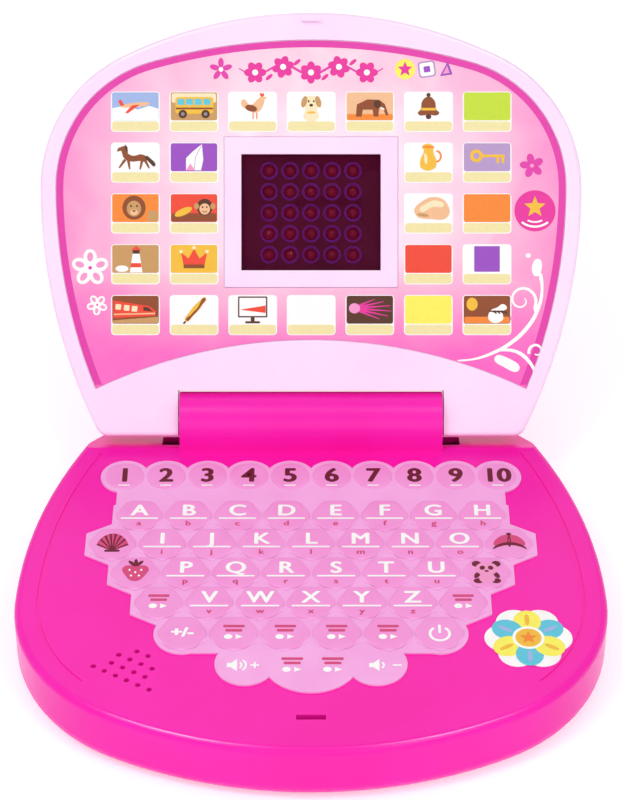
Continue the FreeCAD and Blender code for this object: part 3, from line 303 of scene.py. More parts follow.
def petals(x, y, ring, long, wide, count, turn=0):
    shapes = []
    for i in range(count):
        angle = turn + 360 * i / count
        lean = math.radians(angle)
        shapes.append(oval(x + ring * math.cos(lean), y + ring * math.sin(lean), long, wide, angle, 16))
    return shapes


def star(x, y, outer, inner, count=5):
    points = []
    for i in range(2 * count):
        angle = math.radians(90 + 180 * i / count)
        reach = inner if i % 2 else outer
        points.append((x + reach * math.cos(angle), y + reach * math.sin(angle)))
    return points


def ink(art, colour, level, *rings, smooth=False, glyph=None):
    art.append({"colour": colour, "level": level, "rings": rings, "smooth": smooth, "glyph": glyph})


films = {"step": 0.0025, "steps": 8}  # keeps films that cross on one level apart


def printArt(name, art, layer, place, body):
    # Flat curves and letters, a thin film each, stacked by level, converted to mesh and joined
    bpy.ops.object.select_all(action="DESELECT")
    for index, item in enumerate(art):
        glyph = item["glyph"]
        if glyph:
            curve = bpy.data.curves.new(name, "FONT")
            curve.body = glyph["text"]
            curve.size = glyph["size"]
            curve.offset = glyph["fat"]
            curve.align_x = "CENTER"
            curve.align_y = "CENTER"
        else:
            curve = bpy.data.curves.new(name, "CURVE")
            curve.dimensions = "2D"
            for ring in item["rings"]:
                spline = curve.splines.new("BEZIER" if item["smooth"] else "POLY")
                points = spline.bezier_points if item["smooth"] else spline.points
                points.add(len(ring) - 1)
                for point, (x, y) in zip(points, ring):
                    if item["smooth"]:
                        point.co = (x, y, 0)
                        point.handle_left_type = point.handle_right_type = "AUTO"
                    else:
                        point.co = (x, y, 0, 1)
                spline.use_cyclic_u = True
        curve.fill_mode = "BOTH"
        curve.resolution_u = 5
        curve.extrude = layer["film"] / 2
        curve.materials.append(inks[item["colour"]])
        shape = bpy.data.objects.new(name, curve)
        bpy.context.scene.collection.objects.link(shape)
        lift = films["step"] * (index % films["steps"])
        shape.location.z = layer["floor"] + layer["film"] * (item["level"] + 0.5) + lift
        if glyph:
            shape.location.x, shape.location.y = glyph["at"]
            shape.scale.x = glyph["wide"]
        shape.select_set(True)
        bpy.context.view_layer.objects.active = shape
    bpy.ops.object.convert(target="MESH")
    bpy.ops.object.join()
    return settle(bpy.context.object, name, place, body)


# Keypad: soft caps over the sheet's raised spots, and its prints
keypad = {
    "pitch": 20.5, "rowPitch": 20.5 * math.sqrt(3) / 2, "firstRow": -55, "rowCounts": (8, 9, 8, 7, 6),
    "digitPitch": 17.6, "digitRow": -29.6, "digitRadius": 8.1, "digitCount": 10, "gap": 1.2, "low": 30.0,
    "cornerCut": 2.2, "wall": 0.16, "cushion": ((0.35, 0.1), (0.7, 0.06), (1.2, 0.02)),
}


def copyOver(name, spots):
    # One joined object of copies of the models at their spots, each with its own mesh
    bpy.ops.object.select_all(action="DESELECT")
    for model, x, y in spots:
        copy = bpy.data.objects.new(name, model.data.copy())
        bpy.context.scene.collection.objects.link(copy)
        copy.location = (x, y, 0)
        copy.select_set(True)
        bpy.context.view_layer.objects.active = copy
    bpy.ops.object.join()
    return bpy.context.object


def rowSpot(place, count, pitch):
    return (place - (count - 1) / 2) * pitch


def keyCap(sides, radius, turn):
    # A flat disc drawn up to a cushion: insets, each a little higher
    bpy.ops.object.select_all(action="DESELECT")
    bpy.ops.mesh.primitive_circle_add(vertices=sides, radius=radius, fill_type="NGON",
                                      location=(0, 0, keypad["low"]), rotation=(0, 0, turn))
    cap = bpy.context.object
    bpy.ops.object.transform_apply(location=True, rotation=True)
    bpy.ops.object.mode_set(mode="EDIT")
    bpy.ops.mesh.select_all(action="SELECT")
    if sides == 6:
        bpy.ops.mesh.bevel(offset=keypad["cornerCut"], segments=4, affect="VERTICES")
        bpy.ops.mesh.select_all(action="SELECT")
    bpy.ops.mesh.extrude_region_move(TRANSFORM_OT_translate={"value": (0, 0, keypad["wall"])})
    for inset, rise in keypad["cushion"]:
        bpy.ops.mesh.inset(thickness=inset, depth=0)
        bpy.ops.transform.translate(value=(0, 0, rise))
    bpy.ops.object.mode_set(mode="OBJECT")
    bpy.ops.object.shade_smooth_by_angle(angle=math.radians(60))
    cap.data.materials.append(softKeys)
    return cap


def spreadCaps():
    half = keypad["pitch"] / 2 - keypad["gap"]
    hexCap = keyCap(6, half / math.cos(math.pi / 6), math.radians(90))
    roundCap = keyCap(32, keypad["digitRadius"], 0)
    spots = []
    for row, count in enumerate(keypad["rowCounts"]):
        y = keypad["firstRow"] - row * keypad["rowPitch"]
        for place in range(count):
            spots.append((hexCap, rowSpot(place, count, keypad["pitch"]), y))
    for place in range(keypad["digitCount"]):
        x = rowSpot(place, keypad["digitCount"], keypad["digitPitch"])
        spots.append((roundCap, x, keypad["digitRow"]))
    caps = copyOver("keyCap", spots)
    for model in (hexCap, roundCap):
        bpy.data.objects.remove(model)
    return settle(caps, "keyCaps", basePlace, "base")


spreadCaps()
print("key caps done")

keyPrint = {
    "floor": 30.33, "film": 0.02, "letter": 9.6, "digit": 12.2, "small": 4.2, "sign": 7, "strike": 0.035,
    "rows": ("ABCDEFGH", "IJKLMNO", "PQRSTU", "VWXYZ"), "letterUp": 2.6, "lineDown": 2.2, "smallDown": 5.4,
}
keyArt = []


def keyGlyph(text, x, y, size, colour, fat, wide):
    # Struck several times, a little apart, for a bold face with sharp corners
    step = keyPrint["strike"] * size
    for dx, dy in ((-step, 0), (step, 0), (0, step / 2), (0, -step / 2)):
        glyph = {"text": text, "at": (x + dx, y + dy), "size": size, "fat": fat, "wide": wide}
        ink(keyArt, colour, 1, glyph=glyph)


def modeMark(x, y, level=1):
    # Two short bars over a pair of play marks
    ink(keyArt, "markRed", level, panel(x, y + 3, 8.6, 1.5, 0.5))
    ink(keyArt, "markRed", level, panel(x, y + 0.6, 6.8, 1.5, 0.5))
    ink(keyArt, "white", level, oval(x - 2.2, y - 3, 1.7, 1.4))
    ink(keyArt, "white", level, [(x + 0.8, y - 4.4), (x + 3.6, y - 3), (x + 0.8, y - 1.6)])


def shellMark(x, y):
    fan = [(x + 7 * math.sin(a / 8), y - 5 + 10.5 * math.cos(a / 8)) for a in range(-10, 11)]
    ink(keyArt, "markRed", 1, [(x, y - 5.4)] + fan)
    for turn in (-1.2, -0.84, -0.5, -0.16, 0.16, 0.5, 0.84, 1.2):
        tip = (x + 6.8 * math.sin(turn), y - 5 + 10.3 * math.cos(turn))
        ink(keyArt, "maroon", 2, stroke([(x, y - 5), tip], 0.4, 0.9))
    ink(keyArt, "maroon", 3, panel(x, y - 5.2, 6.4, 1.3, 0.6))


def berryMark(x, y):
    ink(keyArt, "markRed", 1, [(x - 5, y + 2.6), (x, y + 3.4), (x + 5, y + 2.6), (x + 4, y - 2.5), (x, y - 6),
                               (x - 4, y - 2.5)], smooth=True)
    for dx, dy in ((-2.4, 0.8), (2.4, 0.8), (0, -0.6), (-1.6, -2.6), (1.6, -2.6)):
        ink(keyArt, "white", 2, oval(x + dx, y + dy, 0.45, 0.6, 0, 10))
    for turn in (50, 90, 130):
        lean = math.radians(turn)
        leafX, leafY = x + 2.4 * math.cos(lean), y + 3 + 2.2 * math.sin(lean)
        ink(keyArt, "maroon", 3, oval(leafX, leafY, 2.2, 0.8, turn, 14))


def capMark(x, y):
    ink(keyArt, "markRed", 1, [(x - 6, y - 2), (x - 4.6, y + 3.2), (x, y + 5), (x + 4.6, y + 3.2),
                               (x + 6, y - 2), (x, y - 0.8)], smooth=True)
    ink(keyArt, "maroon", 2, stroke(arcPoints(x, y - 9.5, 9, 40, 140), 0.6, 0.6, 1.8))
    ink(keyArt, "maroon", 2, oval(x, y + 5.4, 1.1, 0.9, 0, 12))
    ink(keyArt, "maroon", 2, stroke(arcPoints(x - 12, y + 1, 12.5, -16, 18), 0.5))
    ink(keyArt, "maroon", 2, stroke(arcPoints(x + 12, y + 1, 12.5, 162, 196), 0.5))


def bearMark(x, y):
    for side in (-1, 1):
        ink(keyArt, "maroon", 1, oval(x + side * 4, y + 5, 1.9, 1.8))
        ink(keyArt, "maroon", 3, oval(x + side * 1.7, y + 2.6, 1.1, 1.3, side * 20, 14))
        ink(keyArt, "maroon", 1, oval(x + side * 3.6, y - 5.2, 2, 1.5))
        ink(keyArt, "maroon", 1, oval(x + side * 4, y - 1.8, 1.1, 2, side * 25, 14))
    ink(keyArt, "blush", 2, oval(x, y + 2, 4.6, 3.9))
    ink(keyArt, "blush", 2, oval(x, y - 4, 3.2, 2.6))
    ink(keyArt, "maroon", 3, oval(x, y + 0.6, 0.9, 0.6, 0, 12))


def drawKeyPrints():
    for row, letters in enumerate(keyPrint["rows"]):
        y = keypad["firstRow"] - row * keypad["rowPitch"]
        for place, letter in enumerate(letters):
            x = rowSpot(place, len(letters), keypad["pitch"])
            keyGlyph(letter, x, y + keyPrint["letterUp"], keyPrint["letter"], "white", 0, 1.1)
            ink(keyArt, "white", 2, panel(x, y - keyPrint["lineDown"], 15.6, 0.9, 0.4))
            small = letter.lower()
            keyGlyph(small, x, y - keyPrint["smallDown"], keyPrint["small"], "markRed", 0.02, 1.1)
    for place in range(keypad["digitCount"]):
        x = rowSpot(place, keypad["digitCount"], keypad["digitPitch"])
        keyGlyph(str(place + 1), x, keypad["digitRow"] - 0.2, keyPrint["digit"], "maroon", 0.1, 0.98)
        ink(keyArt, "white", 2, panel(x, keypad["digitRow"] - 6.4, 5, 0.7, 0.3))
    shellMark(-82, -72.3)
    capMark(82, -72.6)
    berryMark(-71.75, -90)
    bearMark(71.75, -90.5)
    for side in (-1, 1):
        modeMark(side * 61.5, -107.6)
        for x in (10.25, 30.75):
            modeMark(side * x, -125.4)
    keyGlyph("+/-", -51.25, -126, keyPrint["sign"], "white", 0.12, 1.1)
    ink(keyArt, "white", 1, stroke(arcPoints(51.25, -126.7, 3.9, 125, 415, 26), 1.1))  # power sign
    ink(keyArt, "white", 1, panel(51.25, -124, 1.1, 5, 0.5))


drawKeyPrints()
printArt("keyPrints", keyArt, keyPrint, basePlace, "base")
print("key prints done")

# Prints on the bare foot of the sheet: volume marks and two more mode marks
sheetPrint = {"floor": 29.79, "film": 0.03, "row": -144, "louder": -28.5, "softer": 27.5}
keyArt = []
for x, waves in ((sheetPrint["louder"], 2), (sheetPrint["softer"], 1)):
    horn = ((-4.6, -1.2), (-3, -1.2), (-0.6, -3.4), (-0.6, 3.4), (-3, 1.2), (-4.6, 1.2))
    ink(keyArt, "white", 1, [(x + dx, sheetPrint["row"] + dy) for dx, dy in horn])
    for wave in range(waves):
        sound = arcPoints(x - 0.8, sheetPrint["row"], 2 + 1.7 * wave, -50, 50, 8)
        ink(keyArt, "white", 1, stroke(sound, 0.8))
    ink(keyArt, "white", 1, panel(x + 6.4, sheetPrint["row"], 3.6, 0.8, 0.3))
ink(keyArt, "white", 2, panel(sheetPrint["louder"] + 6.4, sheetPrint["row"], 0.8, 3.6, 0.3))
for x in (-7.4, 8.6):
    modeMark(x, sheetPrint["row"] + 0.6)
printArt("sheetPrints", keyArt, sheetPrint, basePlace, "base")

# Picture card: a deep border line, tiles with pictures, and ornaments
card = {"half": 109.5, "widest": 100, "reach": 163, "side": 229, "corner": 55.5, "tail": 15,
        "lineIn": 0.1, "lineOut": 3, "floor": 5.89, "film": 0.03}


def cardEdge(inset):
    # Points along the card's edge from the left foot over the crown to the right foot
    half, reach = card["half"] - inset, card["reach"] - inset
    side, corner = card["side"] - inset, card["corner"] - inset
    run, rise = half - corner, reach - card["widest"]
    crown = (run ** 2 + rise ** 2 - corner ** 2) / (2 * (rise - corner))
    lean = math.degrees(math.atan2(crown - rise, run))
    sweep = math.degrees(math.asin((card["widest"] - card["tail"]) / side))
    right = arcPoints(half - side, card["widest"], side, -sweep, 0, 24)
    right += arcPoints(half - corner, card["widest"], corner, 0, lean, 24)[1:]
    right += arcPoints(0, reach - crown, crown, lean, 90, 24)[1:]
    left = [(-x, y) for x, y in right[:-1]]
    return left + right[::-1]


cardArt = []
ink(cardArt, "border", 0, cardEdge(card["lineIn"]) + cardEdge(card["lineOut"])[::-1])

tile = {"wide": 21, "high": 17.3, "left": -75.5, "top": 132.35, "across": 25.2, "down": 21.84, "corner": 1.6}


def draw(column, row, colour, level, points, smooth=False):
    # One shape of a tile's picture, from the middle of the picture's own field
    x = tile["left"] + column * tile["across"]
    y = tile["top"] - row * tile["down"] + 2.3
    ink(cardArt, colour, level, [(x + px, y + py) for px, py in points], smooth=smooth)


def field(column, row, colour):
    draw(column, row, colour, 3, panel(0, 0, 20, 12, 0.9))


def blankTiles():
    for row in range(5):
        for column in range(7):
            if row in (1, 2, 3) and column in (2, 3, 4):
                continue  # the display's place
            x = tile["left"] + column * tile["across"]
            y = tile["top"] - row * tile["down"]
            ink(cardArt, "white", 1, panel(x, y, tile["wide"], tile["high"], tile["corner"]))
            ink(cardArt, "caption", 2, panel(x, y - 6.2, tile["wide"] - 0.9, 4.1, 1.2))


def firstRowPictures():
    field(0, 0, "sky")  # airplane over clouds
    draw(0, 0, "white", 4, [(-9.9, -5.9), (9.9, -5.9), (9.9, -1), (6, 0.2), (1, -1.4), (-4, 0.4),
                            (-9.9, -0.8)])
    draw(0, 0, "peach", 5, oval(0, 0.6, 6.4, 1, 6))
    draw(0, 0, "red", 6, [(-1.5, 0.4), (2, 0.8), (-3.2, -3), (-4.4, -2.8)])
    draw(0, 0, "red", 6, [(-6.4, 0.2), (-4.6, 0.4), (-6.2, 2.8), (-7.4, 2.6)])
    field(1, 0, "tan")  # bus
    draw(1, 0, "cream", 4, panel(0, 3.6, 19, 4, 0.8))
    draw(1, 0, "gold", 5, panel(0.2, 0.4, 16.4, 7.2, 1.4))
    for x in (-5.6, -1.9, 1.8, 5.6):
        draw(1, 0, "aqua", 6, panel(x, 1.9, 3, 2.6, 0.4))
    draw(1, 0, "brown", 6, panel(0.2, -0.9, 16, 0.8, 0.2))
    for x in (-4.8, 5):
        draw(1, 0, "umber", 7, oval(x, -3.3, 1.8, 1.8))
        draw(1, 0, "grey", 8, oval(x, -3.3, 0.8, 0.8, 0, 12))
    draw(2, 0, "peach", 4, [(-5, 1.2), (-2, -1.6), (2.2, -2.4), (4.6, 0.6), (4.4, 4.4), (2.4, 3.2), (-1, 0.6),
                            (-4, 3)], smooth=True)  # hen
    draw(2, 0, "brown", 5, oval(-0.6, -0.8, 2.6, 1.4, -14))
    draw(2, 0, "red", 5, [(3, 5), (3.5, 6), (4.1, 5.2), (4.7, 5.9), (5, 4.6), (4, 4)])
    draw(2, 0, "gold", 5, [(5, 4.1), (6.5, 3.6), (5, 3.2)])
    for x in (0.2, 1.8):
        draw(2, 0, "orange", 5, panel(x, -4, 0.5, 3, 0.2))
    draw(3, 0, "cream", 4, [(-3, -5.4), (3, -5.4), (2.6, -1.6), (2.8, 2.6), (0, 4.6), (-2.8, 2.6),
                            (-2.6, -1.6)], smooth=True)  # dog
    for side in (-1, 1):
        draw(3, 0, "tan", 5, oval(side * 3, 2, 1.2, 2.5, side * 16))
        draw(3, 0, "umber", 6, oval(side * 1.1, 2.2, 0.4, 0.5, 0, 10))
    draw(3, 0, "umber", 6, oval(0, 0.5, 0.8, 0.6, 0, 12))
    draw(3, 0, "gold", 5, oval(0, -2.6, 1.9, 0.5))
    field(4, 0, "peach")  # elephant
    draw(4, 0, "orange", 4, panel(0, -4.6, 19.6, 2.6, 0.5))
    draw(4, 0, "brown", 5, [(-6, -4.4), (-5.6, 0.8), (-1, 3), (4, 2.8), (6.4, 1), (8, -3.6), (7, -4),
                            (5.6, -1), (4, -0.6), (3.6, -4.4), (1.6, -4.4), (1.2, -1.4), (-3, -1.4),
                            (-3.6, -4.4)])
    draw(4, 0, "umber", 6, oval(3.2, 1, 1.5, 1.8))
    draw(4, 0, "white", 6, oval(5.4, -0.9, 1.1, 0.35, -30, 12))
    draw(5, 0, "brown", 4, [(-4.6, -3), (-3.4, -1.4), (-2.6, 2.4), (0, 4.2), (2.6, 2.4), (3.4, -1.4),
                            (4.6, -3), (0, -3.6)], smooth=True)  # bell
    draw(5, 0, "gold", 5, panel(0, -1.2, 6.4, 1.1, 0.4))
    draw(5, 0, "umber", 5, oval(0, -4.4, 1.2, 1.1))
    draw(5, 0, "umber", 5, oval(0, 4.9, 0.9, 0.9, 0, 12))
    field(6, 0, "lime")


def middleRowPictures():
    draw(0, 1, "brown", 4, [(-5, 1.6), (-1, 0.6), (3, 1.2), (5, -0.4), (4.4, -1.8), (2, -1.6), (-2, -1.8),
                            (-4.6, -0.6)], smooth=True)  # horse
    draw(0, 1, "brown", 5, [(-5.2, -0.2), (-3.2, 1.6), (-4.4, 5), (-7.4, 4), (-8, 2.4), (-6, 2.8)])
    draw(0, 1, "umber", 6, [(-3.2, 1.4), (-3.4, 4.4), (-4.6, 5.6), (-4.2, 3)])
    hips = ((-4.4, -1), (-3, -1.4), (3, -1), (4, -1))
    hooves = ((-7, -4.6), (-2.4, -5.2), (2, -5.2), (6, -4.8))
    for ends in zip(hips, hooves):
        draw(0, 1, "brown", 5, stroke(ends, 1.3, 0.6))
    draw(0, 1, "umber", 6, [(4.4, 0.4), (6.6, -0.6), (8.4, -3.8), (6.2, -2.4)], smooth=True)
    field(1, 1, "violet")  # folded napkin
    draw(1, 1, "white", 4, [(-3.4, -5.6), (3, -5.6), (4, -1), (3.4, 5.6), (-0.6, 2.4), (-3.4, -0.4)])
    draw(1, 1, "blush", 5, [(-3.4, -5.6), (0.4, -5.6), (-1.6, -2.6)])
    draw(1, 1, "lilac", 5, stroke([(3.2, 5), (0.6, 0), (0.2, -5)], 0.3))
    draw(5, 1, "gold", 4, [(-3, -4.8), (2.6, -4.8), (3.4, -2), (2, 3), (2.4, 4.6), (-2.8, 4.6), (-2, 3),
                           (-3.6, -1.6)], smooth=True)  # jug
    draw(5, 1, "orange", 5, stroke(arcPoints(3, 0.4, 2.4, -80, 80), 0.8))
    draw(5, 1, "cream", 5, oval(-1.2, -0.6, 0.7, 2.4, 6))
    draw(5, 1, "orange", 5, oval(0, 4.4, 2.4, 0.5))
    field(6, 1, "lilac")  # door key
    draw(6, 1, "gold", 4, oval(-4.6, 0.6, 2.8, 2.8))
    draw(6, 1, "lilac", 5, oval(-4.6, 0.6, 1.3, 1.3))
    draw(6, 1, "gold", 4, panel(2.6, 0.6, 10, 1.2, 0.3))
    for x in (4.6, 6.8):
        draw(6, 1, "gold", 4, panel(x, -1.2, 1.2, 2.6, 0.3))
    field(0, 2, "orange")  # lion
    draw(0, 2, "brown", 4, oval(-0.6, 0.2, 5, 5.2))
    draw(0, 2, "tan", 5, oval(-0.6, -0.2, 3.1, 3.4))
    draw(0, 2, "peach", 6, oval(-0.6, -1.8, 1.7, 1.3))
    draw(0, 2, "umber", 7, [(-1.4, -0.9), (0.2, -0.9), (-0.6, -1.8)])
    for side in (-1, 1):
        draw(0, 2, "umber", 6, oval(-0.6 + side * 1.3, 0.9, 0.4, 0.5, 0, 10))
    draw(0, 2, "tan", 4, panel(7.4, -3.4, 4.6, 4.6, 0.9))
    field(1, 2, "red")  # monkey
    draw(1, 2, "brown", 4, panel(0, -4, 19.4, 3.6, 0.8))
    draw(1, 2, "umber", 5, oval(4.6, 0.4, 3.4, 3.6))
    draw(1, 2, "peach", 6, oval(4.6, -0.4, 2.3, 2.4))
    for side in (-1, 1):
        draw(1, 2, "tan", 6, oval(4.6 + side * 3.5, 0.8, 1.1, 1.3))
        draw(1, 2, "umber", 7, oval(4.6 + side * 0.9, 0.4, 0.35, 0.45, 0, 10))
    draw(1, 2, "umber", 7, stroke(arcPoints(4.6, -0.6, 1.1, 215, 325, 8), 0.3))
    draw(1, 2, "gold", 6, oval(-4.6, -1.6, 4, 1.5, 24))
    draw(5, 2, "peach", 4, [(-6, -2), (-2, 3.4), (4, 4.6), (8, 2), (8.4, -3.6), (2, -4.8)],
         smooth=True)  # loaf
    draw(5, 2, "cream", 5, [(-3.6, -1.2), (-0.6, 2.2), (4, 3.2), (6.6, 1.2), (2, 0.6)], smooth=True)
    draw(5, 2, "tan", 5, oval(-2.4, -3, 2.6, 0.7, -8))
    field(6, 2, "orange")
    field(0, 3, "tan")  # lighthouse
    draw(0, 3, "white", 4, [(-2.4, -5.8), (3, -5.8), (1.8, 2.4), (-1.2, 2.4)])
    draw(0, 3, "red", 5, [(-2.1, -3.6), (2.6, -3.6), (2.3, -1.8), (-1.8, -1.8)])
    draw(0, 3, "red", 5, [(-2, 3.8), (0.3, 5.6), (2.6, 3.8)])
    draw(0, 3, "umber", 5, panel(0.3, 3, 3, 1.5, 0.2))
    draw(0, 3, "white", 4, oval(-5.8, -4.2, 2.8, 1.4))
    field(1, 3, "gold")  # crown
    draw(1, 3, "red", 4, [(-4.4, -3.4), (4.4, -3.4), (5.6, 2.8), (2.4, 0.2), (0, 4.4), (-2.4, 0.2),
                          (-5.6, 2.8)])
    draw(1, 3, "brown", 5, panel(0, -3.2, 9, 1.6, 0.4))
    for x, y in ((-5.6, 3.2), (0, 4.8), (5.6, 3.2)):
        draw(1, 3, "cream", 5, oval(x, y, 0.8, 0.8, 0, 14))
    field(5, 3, "red")
    draw(6, 3, "violet", 4, panel(0, 0, 11, 11, 0.3))


def lastRowPictures():
    field(0, 4, "brown")  # train
    draw(0, 4, "tan", 4, [(-9.8, -5.8), (9.8, -5.8), (9.8, -3), (-9.8, -4.6)])
    draw(0, 4, "red", 5, [(-9.6, -3.6), (8.4, -2.6), (8.8, -0.6), (5.6, 1.6), (-9.6, 4)])
    for x, y in ((-7.4, 1.2), (-3.8, 0.8), (-0.4, 0.4)):
        draw(0, 4, "cream", 6, panel(x, y, 2.4, 2.4, 0.3, -6))
    draw(0, 4, "umber", 6, [(3.4, -0.4), (7.6, -0.8), (5.4, 1), (3.4, 1.3)])
    draw(0, 4, "peach", 6, stroke([(-9.4, -2), (8.4, -1.6)], 0.6))
    draw(1, 4, "gold", 4, [(-3.6, -5), (-2, -1), (2, 3.4), (5, 5.2), (3.6, 2), (-0.4, -2.6)],
         smooth=True)  # furled umbrella
    draw(1, 4, "brown", 5, [(-3.4, -4.6), (-0.4, -2.4), (3.4, 2.2), (4.8, 5), (1.6, 1), (-1.4, -2.2)],
         smooth=True)
    draw(1, 4, "umber", 5, stroke([(-3.6, -5), (-4.6, -6)], 0.7))
    draw(2, 4, "umber", 4, panel(0, 1.2, 12.6, 9, 0.4))  # monitor
    draw(2, 4, "white", 5, panel(0, 1.2, 11.4, 7.8, 0.2))
    draw(2, 4, "red", 6, [(-5.6, 0), (5.6, 1.8), (5.6, -1.4)])
    draw(2, 4, "umber", 4, panel(0, -4.2, 1.6, 2, 0.2))
    draw(2, 4, "umber", 4, panel(0, -5.4, 6.4, 0.9, 0.4))
    field(4, 4, "umber")  # sparkler
    for turn, reach in ((-26, 13), (-15, 16), (-5, 17), (5, 16.6), (15, 14), (27, 11)):
        lean = math.radians(turn)
        tip = (-7.6 + reach * math.cos(lean), 0.6 + 0.8 * reach * math.sin(lean))
        draw(4, 4, "magenta", 4, stroke([(-7.6, 0.6), tip], 1.2, 0.25))
    draw(4, 4, "blush", 5, oval(-6.6, 0.6, 2.4, 2.2))
    field(5, 4, "yellow")
    field(6, 4, "brown")  # zebra at a water hole
    draw(6, 4, "orange", 4, panel(0, -4.4, 19.4, 2.8, 0.6))
    draw(6, 4, "gold", 4, oval(-6.4, 2.4, 2.4, 2.8))
    draw(6, 4, "white", 5, [(1, -4.6), (1.4, -0.6), (4.4, 1), (7, 2.4), (8.6, 0.6), (7, -0.6), (6.6, -4.6)],
         smooth=True)
    for turn in range(4):
        draw(6, 4, "umber", 6, stroke(arcPoints(1.8 + 1.5 * turn, -3.6, 3, 40, 110, 6), 0.6))


blankTiles()
firstRowPictures()
middleRowPictures()
lastRowPictures()


def ornaments():
    for i in range(5):  # garland at the crown: five flowers on a waving stem
        x = -24 + 12 * i
        y = 150.4 + (1.2 if i % 2 else -1.2)
        for shape in petals(x, y, 2.5, 2.3, 1.7, 6, 15 * i):
            ink(cardArt, "magenta", 2 + i % 2, shape)
        ink(cardArt, "white", 4, oval(x, y, 1.3, 1.3, 0, 16))
    across = [-31 + 62 * i / 40 for i in range(41)]
    wave = [(x, 150.4 - 2.2 * math.cos(math.pi * x / 12)) for x in across]
    ink(cardArt, "border", 1, stroke(wave, 0.5, 0.5, 1.1))
    for x in (-18, -6, 6, 18):
        ink(cardArt, "magenta", 2, oval(x, 153.6 if x in (-6, 18) else 147.2, 1.9, 0.8, 40, 14))
    for shape in petals(-38.7, 150.5, 2.8, 2.2, 1.2, 5, 18):
        ink(cardArt, "border", 2, shape)
    ink(cardArt, "white", 3, oval(-38.7, 150.5, 1, 1, 0, 14))
    ink(cardArt, "yellow", 2, oval(40.4, 150.6, 4.4, 4.4))  # three toy shapes
    ink(cardArt, "magenta", 3, star(40.4, 150.6, 3.4, 1.5))
    ink(cardArt, "lilac", 2, panel(49.8, 150.6, 7.4, 7, 1.4, 8))
    ink(cardArt, "white", 3, panel(49.8, 150.6, 6, 5.6, 1, 8))
    ink(cardArt, "violet", 4, panel(49.8, 150.6, 2.8, 2.6, 0.5, 8))
    ink(cardArt, "violet", 2, [(55.4, 147.6), (60.8, 148.4), (58.8, 154)])
    ink(cardArt, "blush", 3, [(56.6, 148.6), (59.6, 149), (58.5, 152.2)])
    ink(cardArt, "magenta", 2, oval(96.3, 89.8, 8.85, 8.85, 0, 40))  # round badge
    ink(cardArt, "gold", 3, star(96.3, 91.4, 4.8, 2.1))
    ink(cardArt, "white", 3, stroke(arcPoints(96.3, 92.2, 9.2, 232, 308), 0.9))
    ink(cardArt, "white", 3, stroke(arcPoints(96.3, 92.2, 7.2, 244, 296), 0.7))
    for x, y, size, turn in ((-95, 65.3, 1, 18), (-92, 49.4, 0.56, 50)):  # white flowers with pink throats
        for shape in petals(x, y, 4.6 * size, 3.5 * size, 2.9 * size, 5, turn):
            ink(cardArt, "white", 2, shape)
        ink(cardArt, "white", 3, oval(x, y, 3 * size, 3 * size))
        for shape in petals(x, y, 4.7 * size, 2 * size, 1.3 * size, 5, turn):
            ink(cardArt, "blush", 4, shape)
        ink(cardArt, "border", 5, oval(x, y, 0.8 * size, 0.8 * size, 0, 12))
    for shape in petals(95, 109.2, 3, 2.3, 1.6, 5, 30):
        ink(cardArt, "border", 2, shape)


def scrollwork():
    stem = [(63, 25.4), (70, 26), (78, 28.6), (86, 33), (93, 39.6), (97.6, 47.4), (99.4, 56), (98.6, 63)]
    ink(cardArt, "white", 2, stroke(stem, 0.3, 0.7, 1.7), smooth=True)
    ink(cardArt, "white", 2, stroke(curl(90.6, 51.4, 6.4, -20, 1.15, 0.78), 1.4, 0.5))
    ink(cardArt, "white", 2, stroke([(92.6, 39.4), (96.4, 44.8), (96.8, 49.6)], 0.3, 1.3), smooth=True)
    ink(cardArt, "white", 2, stroke(curl(97, 29.4, 3.4, 200, -0.9, 0.62), 1.3, 0.6))
    shoot = [(80, 29.8), (88, 29.4), (94.6, 24), (97.4, 17.4)]
    ink(cardArt, "white", 2, stroke(shoot, 0.4, 0.3, 1.6), smooth=True)
    ink(cardArt, "white", 2, oval(97.2, 14.8, 0.9, 1.9, 12, 14))
    ink(cardArt, "white", 2, [(79, 26.8), (85, 26.4), (89.6, 21.4), (83, 22.6)], smooth=True)
    ink(cardArt, "white", 2, [(97, 61.6), (95, 65.6), (97.8, 69.2), (99.2, 65)], smooth=True)
    ink(cardArt, "white", 2, oval(93.4, 70.6, 1.1, 1, 0, 16))
    ink(cardArt, "blush", 2, oval(86, 43.6, 1, 0.7, 30, 12))


ornaments()
scrollwork()
printArt("cardPrints", cardArt, card, lidPlace, "lid")
print("card prints done,", len(cardArt), "shapes")

# Display: a rim round each lamp, inside the mask's eyes; its bright purple is partly the rim's own colour and
# partly a painted glint
display = {"level": 89.2, "pitch": 9.05, "count": 5, "outer": 3.8, "inner": 2.9, "low": 0.9, "high": 1.88,
           "softEdge": 0.12}
# The rim's bright purple is partly painted highlight: a glint on the collar painted into its colour
rimPlasticPaintedGlint = mouldedSkin("purpleRimPaintedGlint", ("#9A3CFF", "#8A30F0"), (0.25, 0.4), 6, 1, 0.05,
                         IOR=1.5, Specular_IOR_Level=0.2)


